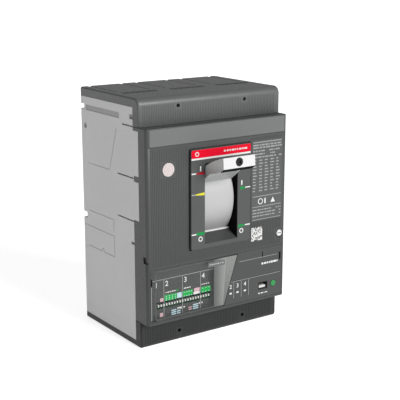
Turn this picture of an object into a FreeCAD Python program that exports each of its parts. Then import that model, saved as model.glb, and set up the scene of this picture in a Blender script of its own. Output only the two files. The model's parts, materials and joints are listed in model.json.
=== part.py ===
import FreeCAD, Part
import math
import os

from FreeCAD import Vector as V

# Three-pole molded case circuit breaker, millimetres.
# +X is to the right seen from the front, the front faces -Y, +Z is up.
# The origin is the centre of the rear mounting face.

os.makedirs("parts", exist_ok=True)

# ---- driving dimensions -------------------------------------------------
WIDTH = 140.0
HEIGHT = 205.0
DEPTH = 103.5                # rear face to the front of the front cover
POLE_PITCH = 46.5
HALF_W = WIDTH / 2
HALF_H = HEIGHT / 2
POLES = (-POLE_PITCH, 0.0, POLE_PITCH)
BARRIERS = (-POLE_PITCH / 2, POLE_PITCH / 2)

BASE_FRONT = 84.0            # depth at which the base ends
BASE_RAISED = 91.7           # depth of the raised stretch of its side walls
RAISED_Z = (5.0, 77.0)
TERMINAL_FRONT = 92.5        # depth of the terminal covers' front
COVER_HALF_H = 80.0          # the front cover reaches this far up and down
TOP_STRIP = 7.5              # height of the top cover on the side of the base
BOTTOM_STRIP = 5.5
WALL = 4.0                   # side walls of the base
REAR_WALL = 6.0
BARRIER = 7.0                # walls between the poles
POCKET_Z = 66.0              # terminal pockets start here
CHAMBER_Z = 62.0             # pole chambers end here
SHELL = 2.5                  # wall of the front and terminal covers
JOIN = 0.2                   # gap between covers that meet

VENT_COUNT = 9               # vent slots per pole in the terminal covers
VENT_PITCH = 3.75
VENT_HALF_W = 0.95
VENT_Y = (-51.8, -60.6)
SEAM_X = 15.5                # panel seams on both sides of each pole
SEAM_HALF_W = 0.5

FIX_Z = 85.5                 # M5 fixing holes, between the poles
FIX_R = 2.75
FIX_BOSS_R = 5.6

TERMINAL_Z = 86.0            # clearance holes of the M8 lug screws in the pads
TERMINAL_R = 4.25
PAD_FRONT = 41.0
BAR_W = 25.0
BAR_T = 5.0

# Toggle lever: pivot, and angle above the horizontal in the ON position.
# Points given as (u, v) lie u along the lever from its pivot and v across it.
LEVER_Y = -60.5
LEVER_Z = 14.7
LEVER_ON = 29.5
LEVER_HALF_W = 15.6
LEVER_STUB_R = 2.5           # stub pins the yoke turns on
GRIP_TOP = (80.5, 1.9)       # upper edge of the grip's end face
GRIP_FOOT = (76.5, -6.3)     # its lower edge
GRIP_CAP_T = 1.7
GRIP_SCREW_R = 3.2
DRUM_R = 41.9
DRUM_T = 1.5
DRUM_HALF_W = 15.0
DRUM_ABOVE = 64.5            # degrees of drum above the lever
DRUM_BELOW = 69.5            # degrees of drum below it
SPRING_BAR = (34.0, 0.0)
WINDOW_HALF_W = 16.5
WINDOW_HALF_H = 33.5
SILL_BACK = -93.3            # inner end of the sills, just clear of the drum
SILL_RISE = 6.7

PLATE_HALF_W = 29.8          # escutcheon
PLATE_Z = (-22.5, 60.2)
PLATE_T = 2.5
PLATE_SEAT = 1.2             # depth of its seat in the front cover
PLATE_MARGIN = 0.8           # gap around it in the seat

DISC = (-49.8, 46.6)         # inspection disc
DISC_R = 5.5

# Crossbar and contacts.
CROSSBAR_Y = -36.0
CROSSBAR_Z = -8.0
CROSSBAR_R = 11.0
ARM_HALF_W = 4.0
EAR_PIN = (-42.0, 6.0)       # pin of the lower links on the crossbar
LINK_PIN = (-69.0, 6.0)      # pin of the upper links on the cradle
KNEE = (-56.88, 4.17)
KNEE_SLOT_R = 3.5            # clearance hole of the knee pin
CRADLE_PIN = (-58.0, 26.0)
LATCH_PIN = (-55.0, -18.0)
TRIP_BAR = (-54.0, -26.0)
TRIP_BAR_R = 2.5
CHUTE_PLATES = 9             # splitter plates per pole
CHUTE_PITCH = 4.0
FRAME_IN = 16.0
FRAME_OUT = 18.0

# Trip unit.
UNIT_X = (-67.2, 67.2)
UNIT_Z = (-77.5, -33.4)
RECESS_FRONT = 99.5          # depth of the face under the clear cover
CLEAR_T = 2.0
CLEAR_EDGE = ((18.9, -34.0), (5.0, -77.5))
SLIDER_COUNT = 20
SLIDER_PITCH = 2.6
SLIDER_X = -33.4             # middle of the row
SLIDER_Z = (-66.4, -64.6)    # one slider, at the lower end of its travel
SLIDER_HALF_W = 0.62
SLOT_Z = (-66.5, -63.0)
DIP_Z = (-68.6, -62.8)
PORT = (46.5, -67.0)         # test port
PORT_HALF = (4.8, 3.2)
PORT_WALL = 0.6
LAMP = (57.7, -66.8)
LAMP_R = 2.6

BUTTON = (63.3, -22.5)
TERMINAL_SCREW_X = 32.8
TERMINAL_SCREW_Z = 94.5


# ---- helpers ------------------------------------------------------------
def box(x0, x1, y0, y1, z0, z1):
    low = V(min(x0, x1), min(y0, y1), min(z0, z1))
    return Part.makeBox(abs(x1 - x0), abs(y1 - y0), abs(z1 - z0), low)


def rod_x(radius, x0, x1, y, z):
    return Part.makeCylinder(radius, abs(x1 - x0), V(min(x0, x1), y, z), V(1, 0, 0))


def rod_y(radius, y0, y1, x, z):
    return Part.makeCylinder(radius, abs(y1 - y0), V(x, min(y0, y1), z), V(0, 1, 0))


def rod_z(radius, z0, z1, x, y):
    return Part.makeCylinder(radius, abs(z1 - z0), V(x, y, min(z0, z1)), V(0, 0, 1))


def slab_x(points, x0, x1):
    """An outline of (y, z) points pushed along X."""
    corners = [V(min(x0, x1), y, z) for y, z in points]
    face = Part.Face(Part.makePolygon(corners + corners[:1]))
    return face.extrude(V(abs(x1 - x0), 0, 0))


def slab_y(points, y0, y1):
    """An outline of (x, z) points pushed along Y."""
    corners = [V(x, min(y0, y1), z) for x, z in points]
    face = Part.Face(Part.makePolygon(corners + corners[:1]))
    return face.extrude(V(0, abs(y1 - y0), 0))


def joined(shapes):
    shapes = list(shapes)
    if len(shapes) == 1:
        return shapes[0]
    return shapes[0].multiFuse(shapes[1:]).removeSplitter()


def without(shape, *tools):
    return shape.cut(list(tools))


def round_edges(shape, radius, wanted):
    """Fillet the straight edges for which wanted(low, high) of the edge's box holds."""
    picked = []
    for edge in shape.Edges:
        b = edge.BoundBox
        if wanted((b.XMin, b.YMin, b.ZMin), (b.XMax, b.YMax, b.ZMax)):
            picked.append(edge)
    return shape.makeFillet(radius, picked)


def near(a, b):
    return abs(a - b) < 0.01


def save(name, shapes):
    if isinstance(shapes, list):
        solids = []
        for shape in shapes:
            solids += shape.Solids
        shape = solids[0] if len(solids) == 1 else Part.makeCompound(solids)
    else:
        shape = shapes
        if len(shape.Solids) == 1:
            shape = shape.Solids[0]
    if not shape.isValid():
        print("not valid:", name)
    shape.exportStep("parts/%s.step" % name)


def lever_point(u, v):
    """(y, z) of a point at u along the lever from its pivot and v across it, at ON."""
    c = math.cos(math.radians(LEVER_ON))
    s = math.sin(math.radians(LEVER_ON))
    return (LEVER_Y - u * c + v * s, LEVER_Z + u * s + v * c)


def arc_points(a, b, bulge, count):
    """Points after a, up to b, on a shallow parabola that stands bulge off the chord."""
    out = []
    dy = b[0] - a[0]
    dz = b[1] - a[1]
    length = math.hypot(dy, dz)
    for i in range(1, count + 1):
        t = i / count
        h = 4 * bulge * t * (1 - t)
        out.append((a[0] + dy * t - dz / length * h, a[1] + dz * t + dy / length * h))
    return out


def groove(points, side, width=0.6, depth=0.4):
    """A shallow groove along (y, z) points in the side wall at side * HALF_W."""
    parts = []
    for (y0, z0), (y1, z1) in zip(points, points[1:]):
        dy = y1 - y0
        dz = z1 - z0
        length = math.hypot(dy, dz)
        ny = -dz / length * width / 2
        nz = dy / length * width / 2
        ends = [(y0 + ny, z0 + nz), (y1 + ny, z1 + nz), (y1 - ny, z1 - nz), (y0 - ny, z0 - nz)]
        parts.append(slab_x(ends, side * (HALF_W - depth), side * (HALF_W + 1)))
    return parts


# ---- base housing -------------------------------------------------------
def base_housing():
    top = HALF_H - TOP_STRIP
    bottom = -HALF_H + BOTTOM_STRIP
    inner = HALF_W - WALL
    body = box(-HALF_W, HALF_W, 0, -BASE_FRONT, bottom, top)
    cuts = []
    for x in POLES:
        x0 = max(x - POLE_PITCH / 2 + BARRIER / 2, -inner)
        x1 = min(x + POLE_PITCH / 2 - BARRIER / 2, inner)
        cuts.append(box(x0, x1, -REAR_WALL, -BASE_FRONT - 1, -CHAMBER_Z, CHAMBER_Z))
        cuts.append(box(x0, x1, -REAR_WALL, -BASE_FRONT - 1, POCKET_Z, top + 1))
        cuts.append(box(x0, x1, -REAR_WALL, -BASE_FRONT - 1, -POCKET_Z, bottom - 1))
        for z in (-CHAMBER_Z - 5, CHAMBER_Z - 1):
            cuts.append(box(x - 13, x + 13, -8, -17, z, z + 6))
    # Clear path of the crossbar, from the front, through the barriers.
    cuts.append(box(-inner, inner, CROSSBAR_Y, -BASE_FRONT - 1, CROSSBAR_Z - 12, CROSSBAR_Z + 12))
    cuts.append(rod_x(12, -inner, inner, CROSSBAR_Y, CROSSBAR_Z))
    # Room for the trip unit and the trip bar.
    cuts.append(box(-inner, inner, -BASE_FRONT - 1, -61.5, -CHAMBER_Z - 10, UNIT_Z[1] + 0.5))
    cuts.append(box(-inner, inner, -BASE_FRONT - 1, -61.5, UNIT_Z[0], -CHAMBER_Z))
    cuts.append(box(-inner, inner, -BASE_FRONT - 1, -50.5, -30, -22))
    body = body.cut(cuts)
    # Fixing bosses, cover screw bosses and the raised stretch of the side walls.
    extra = []
    for x in BARRIERS:
        for z in (-FIX_Z, FIX_Z):
            extra.append(rod_y(FIX_BOSS_R, 0, -BASE_FRONT, x, z))
    for side in (-1, 1):
        x0 = side * (HALF_W - SHELL)
        extra.append(box(x0, side * HALF_W, -BASE_FRONT + 1, -BASE_RAISED, *RAISED_Z))
        for z0, z1 in ((top - 5.5, top), (bottom, bottom + 6.5)):
            extra.append(box(side * 25.0, side * (TERMINAL_SCREW_X + 3.2), -62, -BASE_FRONT, z0, z1))
    body = joined([body] + extra)
    holes = []
    for x in BARRIERS:
        for z in (-FIX_Z, FIX_Z):
            holes.append(rod_y(FIX_R, 1, -BASE_FRONT - 1, x, z))
            holes.append(rod_y(4.6, -50, -BASE_FRONT - 1, x, z))
    for x in (-TERMINAL_SCREW_X, TERMINAL_SCREW_X):
        for z in (-TERMINAL_SCREW_Z, TERMINAL_SCREW_Z):
            holes.append(rod_y(1.25, -66, -BASE_FRONT - 1, x, cover_screw_z(z)))
    body = body.cut(holes)
    return body.cut(side_details()).removeSplitter()


def cover_screw_z(z):
    """Height of a terminal cover screw's axis."""
    return z if z > 0 else z + 0.3


def side_details():
    cuts = []
    for side in (-1, 1):
        outer = side * (HALF_W + 1)
        for z, y0 in ((80.0, -67.7), (38.7, -59.0), (3.5, -59.0)):
            cuts.append(box(side * (HALF_W - 2.2), outer, y0, -BASE_FRONT - 0.01, z - 0.6, z + 0.6))
        cuts.append(box(side * 60, outer, -84.6, -BASE_RAISED - 1, 36.3, 41.0))
        cuts.append(box(side * 68, outer, -79.2, -BASE_FRONT - 1, 85.5, 89.2))
        cuts.append(box(side * 68, outer, -79.2, -BASE_FRONT - 1, -16.2, -13.8))
        cuts.append(box(side * 64, outer, 1, -6.0, -10.3, -5.0))
        cuts.append(box(side * 64, outer, 1, -5.5, 84.6, 88.8))
        cuts.append(box(side * (HALF_W - 0.6), outer, -8.0, -63.3, 84.0, 88.6))
        cuts.append(rod_x(2.4, side * (HALF_W - 2), outer, -6.6, 70.6))
        cuts += groove([(-58.7, 75.0), (-46.4, 39.4), (-10.1, 39.1)], side)
        cuts += groove([(-10.1, -2.4), (-51.6, -2.0), (-51.3, -12.2)], side)
        cuts += groove([(-1.0, -16.2), (-52.0, -16.0), (-52.0, -34.0), (-34.0, -34.0)], side)
        cuts += groove([(-34.0, -34.0), (-34.0, -31.5), (-31.0, -31.5), (-31.0, -34.0)], side)
        cuts += groove([(-31.0, -34.0), (-7.8, -34.0), (-1.0, -38.0)], side)
    return cuts


# ---- terminal covers ----------------------------------------------------
def terminal_cover(sign, strip, corner_r):
    """sign 1 is the line-side cover at the top, -1 the load-side one."""
    edge = sign * HALF_H
    lip = sign * (COVER_HALF_H + JOIN)
    cap = box(-HALF_W, HALF_W, 0, -TERMINAL_FRONT, edge - sign * strip, edge)
    front = box(-HALF_W, HALF_W, -BASE_FRONT, -TERMINAL_FRONT, lip, edge)
    body = joined([cap, front])

    def front_top(low, high):
        z = high[2] if sign > 0 else low[2]
        along_x = high[0] - low[0] > WIDTH - 1
        return along_x and near(low[1], -TERMINAL_FRONT) and near(z, edge) and near(low[2], high[2])

    def front_side(low, high):
        upright = high[2] - low[2] > 5 and near(high[0], low[0])
        return upright and near(low[1], -TERMINAL_FRONT) and near(high[1], -TERMINAL_FRONT)

    body = round_edges(body, corner_r, front_top)
    body = round_edges(body, 1.5, front_side)
    under = edge - sign * SHELL
    inside = HALF_W - SHELL
    back = -TERMINAL_FRONT + SHELL
    hollow = box(-inside, inside, -SHELL, back, edge - sign * (strip + 1), under)
    hollow_front = box(-inside, inside, -BASE_FRONT + 1, back, lip - sign, under)
    body = without(body, hollow, hollow_front)
    posts = []
    bores = []
    for x in (-TERMINAL_SCREW_X, TERMINAL_SCREW_X):
        z = cover_screw_z(sign * TERMINAL_SCREW_Z)
        posts.append(rod_y(2.9, -BASE_FRONT - JOIN, -TERMINAL_FRONT + 1, x, z))
        bores.append(rod_y(1.6, -BASE_FRONT - 2, -TERMINAL_FRONT - 1, x, z))
        bores.append(rod_y(1.3, -BASE_FRONT + 1, -TERMINAL_FRONT, x, z))
    body = joined([body] + posts).cut(bores)
    return body.cut(knock_outs(sign, edge)).removeSplitter()


def knock_outs(sign, edge):
    """Vent slots, panel seams and rear notches over each pole."""
    cuts = []
    middle = (VENT_COUNT - 1) / 2
    for x in POLES:
        for i in range(VENT_COUNT):
            slot_x = x + (i - middle) * VENT_PITCH
            cuts.append(box(slot_x - VENT_HALF_W, slot_x + VENT_HALF_W, *VENT_Y,
                            edge - sign * 4, edge + sign))
        for side in (-1, 1):
            line = x + side * SEAM_X
            cuts.append(box(line - SEAM_HALF_W, line + SEAM_HALF_W, -3, -47, edge - sign * 0.6, edge + sign))
            cuts.append(box(line - 1.8, line + 1.8, 1, -4.2, edge - sign * 4, edge + sign))
    return cuts


def terminal_cover_screws():
    screws = []
    for x in (-TERMINAL_SCREW_X, TERMINAL_SCREW_X):
        for sign in (-1, 1):
            z = cover_screw_z(sign * TERMINAL_SCREW_Z)
            head = rod_y(1.5, -BASE_FRONT - 2.2, -BASE_FRONT - 4.4, x, z)
            shank = rod_y(1.2, -BASE_FRONT - 2.3, -BASE_FRONT + 16, x, z)
            slot = box(x - 2, x + 2, -BASE_FRONT - 3.7, -BASE_FRONT - 5, z - 0.3, z + 0.3)
            screws.append(joined([head, shank]).cut(slot))
    return screws


# ---- front cover and escutcheon -----------------------------------------
def front_cover():
    body = box(-HALF_W, HALF_W, -BASE_FRONT - JOIN, -DEPTH, -COVER_HALF_H, COVER_HALF_H)

    def front_upright(low, high):
        return high[2] - low[2] > 2 * COVER_HALF_H - 1 and near(high[1], -DEPTH)

    def front_level(low, high):
        return high[0] - low[0] > WIDTH - 12 and near(low[1], -DEPTH) and near(high[1], -DEPTH)

    body = round_edges(body, 3.0, front_upright)
    body = round_edges(body, 0.6, front_level)
    inside = HALF_W - SHELL
    cuts = [box(-inside, inside, -BASE_FRONT + 1, -DEPTH + 3, -COVER_HALF_H + 2, COVER_HALF_H - 2)]
    for side in (-1, 1):
        step = box(side * (inside - 0.1), side * (HALF_W + 1), -BASE_FRONT + 1, -BASE_RAISED - JOIN,
                   RAISED_Z[0] - JOIN, RAISED_Z[1] + JOIN)
        tongue = box(side * (inside - 0.2), side * (HALF_W + 2), -84.8, -BASE_RAISED - 1, 36.5, 40.8)
        cuts.append(step.cut(tongue))
        cuts.append(box(side * (HALF_W - 1.4), side * (HALF_W + 1), -97.3, -DEPTH + 0.6, -28.0, -22.6))
    # Lever window, with room for the escutcheon's collar, and the escutcheon's seat.
    collar = 1.4
    cuts.append(box(-WINDOW_HALF_W - collar, WINDOW_HALF_W + collar, -DEPTH - 1, -BASE_FRONT,
                    LEVER_Z - WINDOW_HALF_H - collar, LEVER_Z + WINDOW_HALF_H + collar))
    seat_half = PLATE_HALF_W + PLATE_MARGIN
    cuts.append(box(-seat_half, seat_half, -DEPTH - 1, -DEPTH + PLATE_SEAT,
                    PLATE_Z[0] - PLATE_MARGIN, PLATE_Z[1] + PLATE_MARGIN))
    # Trip unit bay, the line across the front under the top band, and small seats.
    cuts.append(box(UNIT_X[0] - JOIN, UNIT_X[1] + JOIN, -DEPTH - 1, -BASE_FRONT,
                    UNIT_Z[0] - JOIN, UNIT_Z[1] + JOIN))
    cuts.append(box(-HALF_W, HALF_W, -DEPTH - 1, -DEPTH + 0.5, 65.0, 65.6))
    cuts.append(rod_y(DISC_R + JOIN, -DEPTH - 1, -DEPTH + 0.8, *DISC))
    cuts.append(rod_y(3.0, -DEPTH - 1, -BASE_FRONT, BUTTON[0], BUTTON[1]))
    cuts.append(rod_y(3.6, -DEPTH - 1, -DEPTH + 0.8, BUTTON[0] - 0.6, BUTTON[1] - 0.8))
    body = body.cut(cuts)
    guide = rod_y(4.6, -DEPTH + 2, -89, BUTTON[0], BUTTON[1])
    guide = guide.common(box(0, inside, 0, -DEPTH, -COVER_HALF_H, COVER_HALF_H))
    body = joined([body, guide])
    bore = rod_y(3.0, -DEPTH - 1, -91, BUTTON[0], BUTTON[1])
    stem_hole = rod_y(1.6, -DEPTH, -80, BUTTON[0], BUTTON[1])
    return body.cut([bore, stem_hole]).removeSplitter()


def escutcheon():
    low, high = PLATE_Z
    front = -DEPTH - PLATE_T
    plate = box(-PLATE_HALF_W, PLATE_HALF_W, -DEPTH + PLATE_SEAT, front, low, high)

    def corners(a, b):
        return near(a[0], b[0]) and near(a[2], b[2])

    def face_edges(a, b):
        return near(a[1], front) and near(b[1], front)

    plate = round_edges(plate, 1.5, corners)
    plate = round_edges(plate, 0.4, face_edges)
    w = WINDOW_HALF_W
    wall = 1.2
    collar_back = -97.5
    reach = WINDOW_HALF_H + wall
    collar = box(-w - wall, w + wall, -DEPTH, collar_back, LEVER_Z - reach, LEVER_Z + reach)
    window = box(-w, w, front - 1, collar_back + 1, LEVER_Z - WINDOW_HALF_H, LEVER_Z + WINDOW_HALF_H)
    body = joined([plate, collar]).cut(window)
    # Sloping sill under the lever and its twin above.
    sills = []
    for sign in (-1, 1):
        z = LEVER_Z + sign * WINDOW_HALF_H
        outer = z + sign * wall
        outline = [(front + 0.3, z), (SILL_BACK, z - sign * SILL_RISE), (SILL_BACK, outer), (-DEPTH, outer)]
        sills.append(slab_x(outline, -w, w))
    return joined([body] + sills)


def inspection_disc():
    front = -DEPTH - 0.5
    disc = rod_y(DISC_R, -DEPTH + 0.8, front, *DISC)
    return round_edges(disc, 0.3, lambda a, b: near(a[1], front) and near(b[1], front))


# ---- toggle lever -------------------------------------------------------
def lever_body():
    """The lever with its grip, in one piece."""
    outline = [(36.5, 3.5), (55.9, 5.0)]
    outline += arc_points((55.9, 5.0), GRIP_TOP, 0.75, 8)
    outline += [GRIP_FOOT, (71.4, -6.3)]
    outline += arc_points((71.4, -6.3), (57.4, -2.85), 0.3, 6)
    outline += [(51.4, -3.5), (37.6, -5.6)]
    corners = [lever_point(u, v) for u, v in outline]
    body = slab_x(corners, -LEVER_HALF_W, LEVER_HALF_W)
    return body.cut(rod_x(DRUM_R, -20, 20, LEVER_Y, LEVER_Z))


def grip_point(along, depth):
    """(y, z) at a distance up the grip's end face from its middle, and depth behind it."""
    top = lever_point(*GRIP_TOP)
    foot = lever_point(*GRIP_FOOT)
    length = math.hypot(top[0] - foot[0], top[1] - foot[1])
    ty = (top[0] - foot[0]) / length
    tz = (top[1] - foot[1]) / length
    middle = ((top[0] + foot[0]) / 2, (top[1] + foot[1]) / 2)
    return (middle[0] + ty * along + tz * depth, middle[1] + tz * along - ty * depth)


def grip_rod(radius, deep, shallow):
    """A round bar square to the grip's end face, between two depths behind it."""
    start = grip_point(0, deep)
    end = grip_point(0, shallow)
    axis = V(0, end[0] - start[0], end[1] - start[1])
    return Part.makeCylinder(radius, deep - shallow, V(0, *start), axis)


def grip_end():
    """Everything less than the cap's thickness behind the end face."""
    corners = [(-10, -2), (10, -2), (10, GRIP_CAP_T), (-10, GRIP_CAP_T)]
    return slab_x([grip_point(along, depth) for along, depth in corners], -20, 20)


def toggle_lever():
    return lever_body().cut([grip_end(), grip_rod(1.6, 9.0, 0.0)])


def lever_grip_cap():
    cap = lever_body().common(grip_end())
    return cap.cut([grip_rod(GRIP_SCREW_R + 0.2, 1.2, -2.0), grip_rod(1.6, 3.0, 0.0)])


def lever_grip_screw():
    head = grip_rod(GRIP_SCREW_R, 1.2, -0.3)
    shank = grip_rod(1.5, 8.0, 1.0)
    socket = grip_rod(1.5, 0.7, -1.0)
    return joined([head, shank]).cut(socket)


def lever_drum():
    shell = rod_x(DRUM_R, -DRUM_HALF_W, DRUM_HALF_W, LEVER_Y, LEVER_Z)
    shell = shell.cut(rod_x(DRUM_R - DRUM_T, -20, 20, LEVER_Y, LEVER_Z))
    # What is left out is the sector behind the pivot.
    reach = 80.0
    outline = [(0.0, 0.0)]
    steps = 6
    for i in range(steps + 1):
        angle = math.radians(DRUM_ABOVE + (360 - DRUM_BELOW - DRUM_ABOVE) * i / steps)
        outline.append((reach * math.cos(angle), reach * math.sin(angle)))
    back = slab_x([lever_point(u, v) for u, v in outline], -20, 20)
    return shell.cut(back)


def lever_yoke():
    """Steel fork from the pivot pins to the inside of the drum, with its spring bar."""
    arms = []
    for side in (-1, 1):
        x0 = side * 13.2
        x1 = side * 14.8
        hub = rod_x(5.0, x0, x1, LEVER_Y, LEVER_Z)
        outline = [(0.0, -4.5), (40.0, -3.5), (40.0, 3.5), (0.0, 4.5)]
        arm = slab_x([lever_point(u, v) for u, v in outline], x0, x1)
        eye = rod_x(LEVER_STUB_R + 0.1, side * 12, side * 16, LEVER_Y, LEVER_Z)
        arms.append(joined([hub, arm]).cut(eye))
    bar = rod_x(1.5, -14.0, 14.0, *lever_point(*SPRING_BAR))
    return joined(arms + [bar])


# ---- mechanism ----------------------------------------------------------
def mechanism_frame():
    """Two side plates, the lever's stub pins, the cradle's pins and the latch pin."""
    outline = [(-6.0, -30.0), (-90.0, -30.0), (-92.0, -10.0), (-92.0, 38.0), (-50.0, 40.0),
               (-44.0, 20.0), (-6.0, 14.0)]
    pieces = []
    for side in (-1, 1):
        plate = slab_x(outline, side * FRAME_IN, side * FRAME_OUT)
        slot = box(side * 15, side * 19, 0, CROSSBAR_Y, CROSSBAR_Z - 11.8, CROSSBAR_Z + 11.8)
        eye = rod_x(11.8, side * 15, side * 19, CROSSBAR_Y, CROSSBAR_Z)
        bar_hole = rod_x(TRIP_BAR_R + 0.1, side * 15, side * 19, *TRIP_BAR)
        stub = rod_x(LEVER_STUB_R, side * 13.0, side * FRAME_OUT, LEVER_Y, LEVER_Z)
        cradle_stub = rod_x(2.0, side * 10.9, side * FRAME_OUT, *CRADLE_PIN)
        pieces.append(joined([without(plate, slot, eye, bar_hole), stub, cradle_stub]))
    pin = rod_x(1.5, -FRAME_OUT, FRAME_OUT, *LATCH_PIN)
    return joined(pieces + [pin])


def cradle():
    outline = [(-60.5, 29.5), (-55.5, 29.5), (-52.5, 24.0), (-48.6, 2.0), (-48.2, -6.5), (-51.5, -12.6),
               (-57.0, -12.9), (-57.0, -12.0), (-51.6, -8.6), (-50.6, -6.0), (-52.5, 2.0), (-62.5, 2.0),
               (-71.0, 2.5), (-72.5, 6.0), (-70.5, 9.5), (-62.5, 18.0)]
    plates = []
    for side in (-1, 1):
        plate = slab_x(outline, side * 11.3, side * 12.8)
        pin = rod_x(1.6, side * 8.7, side * 12.8, *LINK_PIN)
        hole = rod_x(2.05, side * 10, side * 14, *CRADLE_PIN)
        plates.append(joined([plate, pin]).cut(hole))
    return plates


def link(start, end, hole_start, hole_end, half_width, x0, x1):
    """A flat link between two (y, z) points, with round ends and holes."""
    dy = end[0] - start[0]
    dz = end[1] - start[1]
    length = math.hypot(dy, dz)
    ny = -dz / length * half_width
    nz = dy / length * half_width
    corners = [(start[0] + ny, start[1] + nz), (end[0] + ny, end[1] + nz),
               (end[0] - ny, end[1] - nz), (start[0] - ny, start[1] - nz)]
    body = slab_x(corners, x0, x1)
    end_r = max(half_width, hole_end + 1.5)
    body = joined([body, rod_x(half_width, x0, x1, *start), rod_x(end_r, x0, x1, *end)])
    return body.cut([rod_x(hole_start, -30, 30, *start), rod_x(hole_end, -30, 30, *end)])


def upper_links():
    return [link(LINK_PIN, KNEE, 1.65, KNEE_SLOT_R, 3.2, side * 9.0, side * 10.5) for side in (-1, 1)]


def lower_links():
    """Both lower links and the knee pin that is riveted into them."""
    plates = []
    for side in (-1, 1):
        plates.append(link(EAR_PIN, KNEE, 1.6, 1.0, 2.8, side * 6.6, side * 8.1))
    pin = rod_x(1.1, -10.8, 10.8, *KNEE)
    return joined(plates + [pin])


def coil(start, end, radius, wire, turns):
    """A round-wire coil spring between two points."""
    axis = end.sub(start)
    height = axis.Length
    helix = Part.makeHelix(height / turns, height, radius)
    ring = Part.Wire([Part.Circle(V(radius, 0, 0), V(0, 1, 0), wire).toShape()])
    body = Part.Wire(helix.Edges).makePipeShell([ring], True, True)
    turn = FreeCAD.Rotation(V(0, 0, 1), axis)
    body.Placement = FreeCAD.Placement(start, turn)
    return body


def main_springs():
    """Two extension springs between the yoke's bar and the knee pin."""
    bar = lever_point(*SPRING_BAR)
    dy = KNEE[0] - bar[0]
    dz = KNEE[1] - bar[1]
    length = math.hypot(dy, dz)
    inset = 3.2
    springs = []
    for x in (-3.6, 3.6):
        a = V(x, bar[0] + dy / length * inset, bar[1] + dz / length * inset)
        b = V(x, KNEE[0] - dy / length * inset, KNEE[1] - dz / length * inset)
        springs.append(coil(a, b, 2.0, 0.45, 14))
    return springs


def trip_latch():
    y, z = LATCH_PIN
    hub = rod_x(3.0, -12.6, 12.6, y, z)
    nose = box(-12.6, 12.6, y - 2.6, y + 0.2, z, z + 4.7)
    tail = box(-4.0, 4.0, y - 1.4, y + 0.2, z - 4.6, z)
    return joined([hub, nose, tail]).cut(rod_x(1.55, -20, 20, y, z))


def trip_bar():
    y, z = TRIP_BAR
    rod = rod_x(TRIP_BAR_R, -24.5, 65.2, y, z)
    latch_tab = box(-4.0, 4.0, y + 1.2, y + 2.5, z, z + 5.6)
    button_tab = box(60.6, 65.2, y - 3.4, y - 1.6, z - 1.5, z + 5.8)
    button_root = box(60.6, 65.2, y - 3.4, y, z - 1.5, z + 1.5)
    plunger_tab = box(POLE_PITCH - 4, POLE_PITCH + 4, y - 7.0, y, z - 1.2, z + 1.2)
    return joined([rod, latch_tab, button_root, button_tab, plunger_tab])


def trip_actuator():
    """Magnetic actuator body; its plunger pushes the trip bar's tab up."""
    y = TRIP_BAR[0] - 5.0
    case = box(POLE_PITCH - 8, POLE_PITCH + 8, -61.2, -47.5, -57.0, -38.0)
    bore = rod_z(2.1, -52.0, -37.0, POLE_PITCH, y + 0.4)
    return case.cut(bore)


def trip_plunger():
    y = TRIP_BAR[0] - 4.6
    pin = rod_z(2.0, -51.7, -33.2, POLE_PITCH, y)
    tip = rod_z(2.6, -34.4, -33.2, POLE_PITCH, y)
    return joined([pin, tip])


# ---- contacts and conductors -------------------------------------------
def arm_outline():
    """(y, z) outline of a moving contact arm."""
    return [(-31.5, 44.0), (-21.4, 44.0), (-21.4, 34.0), (-24.5, 30.0), (-29.0, 4.0), (-29.0, -12.0),
            (-33.0, -21.0), (-39.0, -21.0), (-41.5, -12.0), (-41.0, 2.0), (-34.0, 30.0)]


def moving_contact_arms():
    """Copper arms with their silver tips."""
    out = []
    for x in POLES:
        out.append(slab_x(arm_outline(), x - ARM_HALF_W, x + ARM_HALF_W))
        out.append(box(x - 3.5, x + 3.5, -21.4, -18.4, 34.6, 42.6))
    return out


def crossbar():
    bar = rod_x(CROSSBAR_R, -64.5, 64.5, CROSSBAR_Y, CROSSBAR_Z)
    ears = []
    for side in (-1, 1):
        outline = [(-42.0, -6.0), (-33.0, -2.0), (-39.2, 8.0), (-44.8, 8.0), (-46.6, 1.0)]
        ear = slab_x(outline, side * 4.6, side * 6.2)
        pin = rod_x(1.5, side * 4.6, side * 8.6, *EAR_PIN)
        ears += [ear, pin]
    bar = joined([bar] + ears)
    gap = 0.15
    for x in POLES:
        bar = bar.cut(slab_x(arm_outline(), x - ARM_HALF_W - gap, x + ARM_HALF_W + gap))
    return bar


def bearing_blocks():
    """Insulating blocks that hold the crossbar in the barriers."""
    out = []
    for x in BARRIERS:
        half = BARRIER / 2 - 0.1
        block = box(x - half, x + half, CROSSBAR_Y, -BASE_FRONT, CROSSBAR_Z - 11.9, CROSSBAR_Z + 11.9)
        ring = rod_x(11.9, x - half, x + half, CROSSBAR_Y, CROSSBAR_Z)
        body = joined([block, ring])
        bore = rod_x(CROSSBAR_R + 0.08, x - 10, x + 10, CROSSBAR_Y, CROSSBAR_Z)
        slot = box(x - 10, x + 10, -50.5, -BASE_FRONT - 1, -30, -18.5)
        out.append(body.cut([bore, slot]))
    return out


def conductor(x, sign, z_end):
    """Copper bar from a terminal pad back and along the rear wall, ending at z_end."""
    pad = box(x - BAR_W / 2, x + BAR_W / 2, -PAD_FRONT, -PAD_FRONT + BAR_T, sign * 68.0, sign * 94.0)
    back = box(x - BAR_W / 2, x + BAR_W / 2, -PAD_FRONT, -10, sign * 68.0, sign * 73.0)
    run = box(x - 12, x + 12, -15, -10, z_end, sign * 73.0)
    hole = rod_y(TERMINAL_R, -30, -50, x, sign * TERMINAL_Z)
    return joined([pad, back, run]).cut(hole)


def line_terminals():
    return [conductor(x, 1, 28.0) for x in POLES]


def load_terminals():
    return [conductor(x, -1, -32.0) for x in POLES]


def fixed_contact_tips():
    return [box(x - 3.5, x + 3.5, -15, -18, 34.6, 42.6) for x in POLES]


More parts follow.
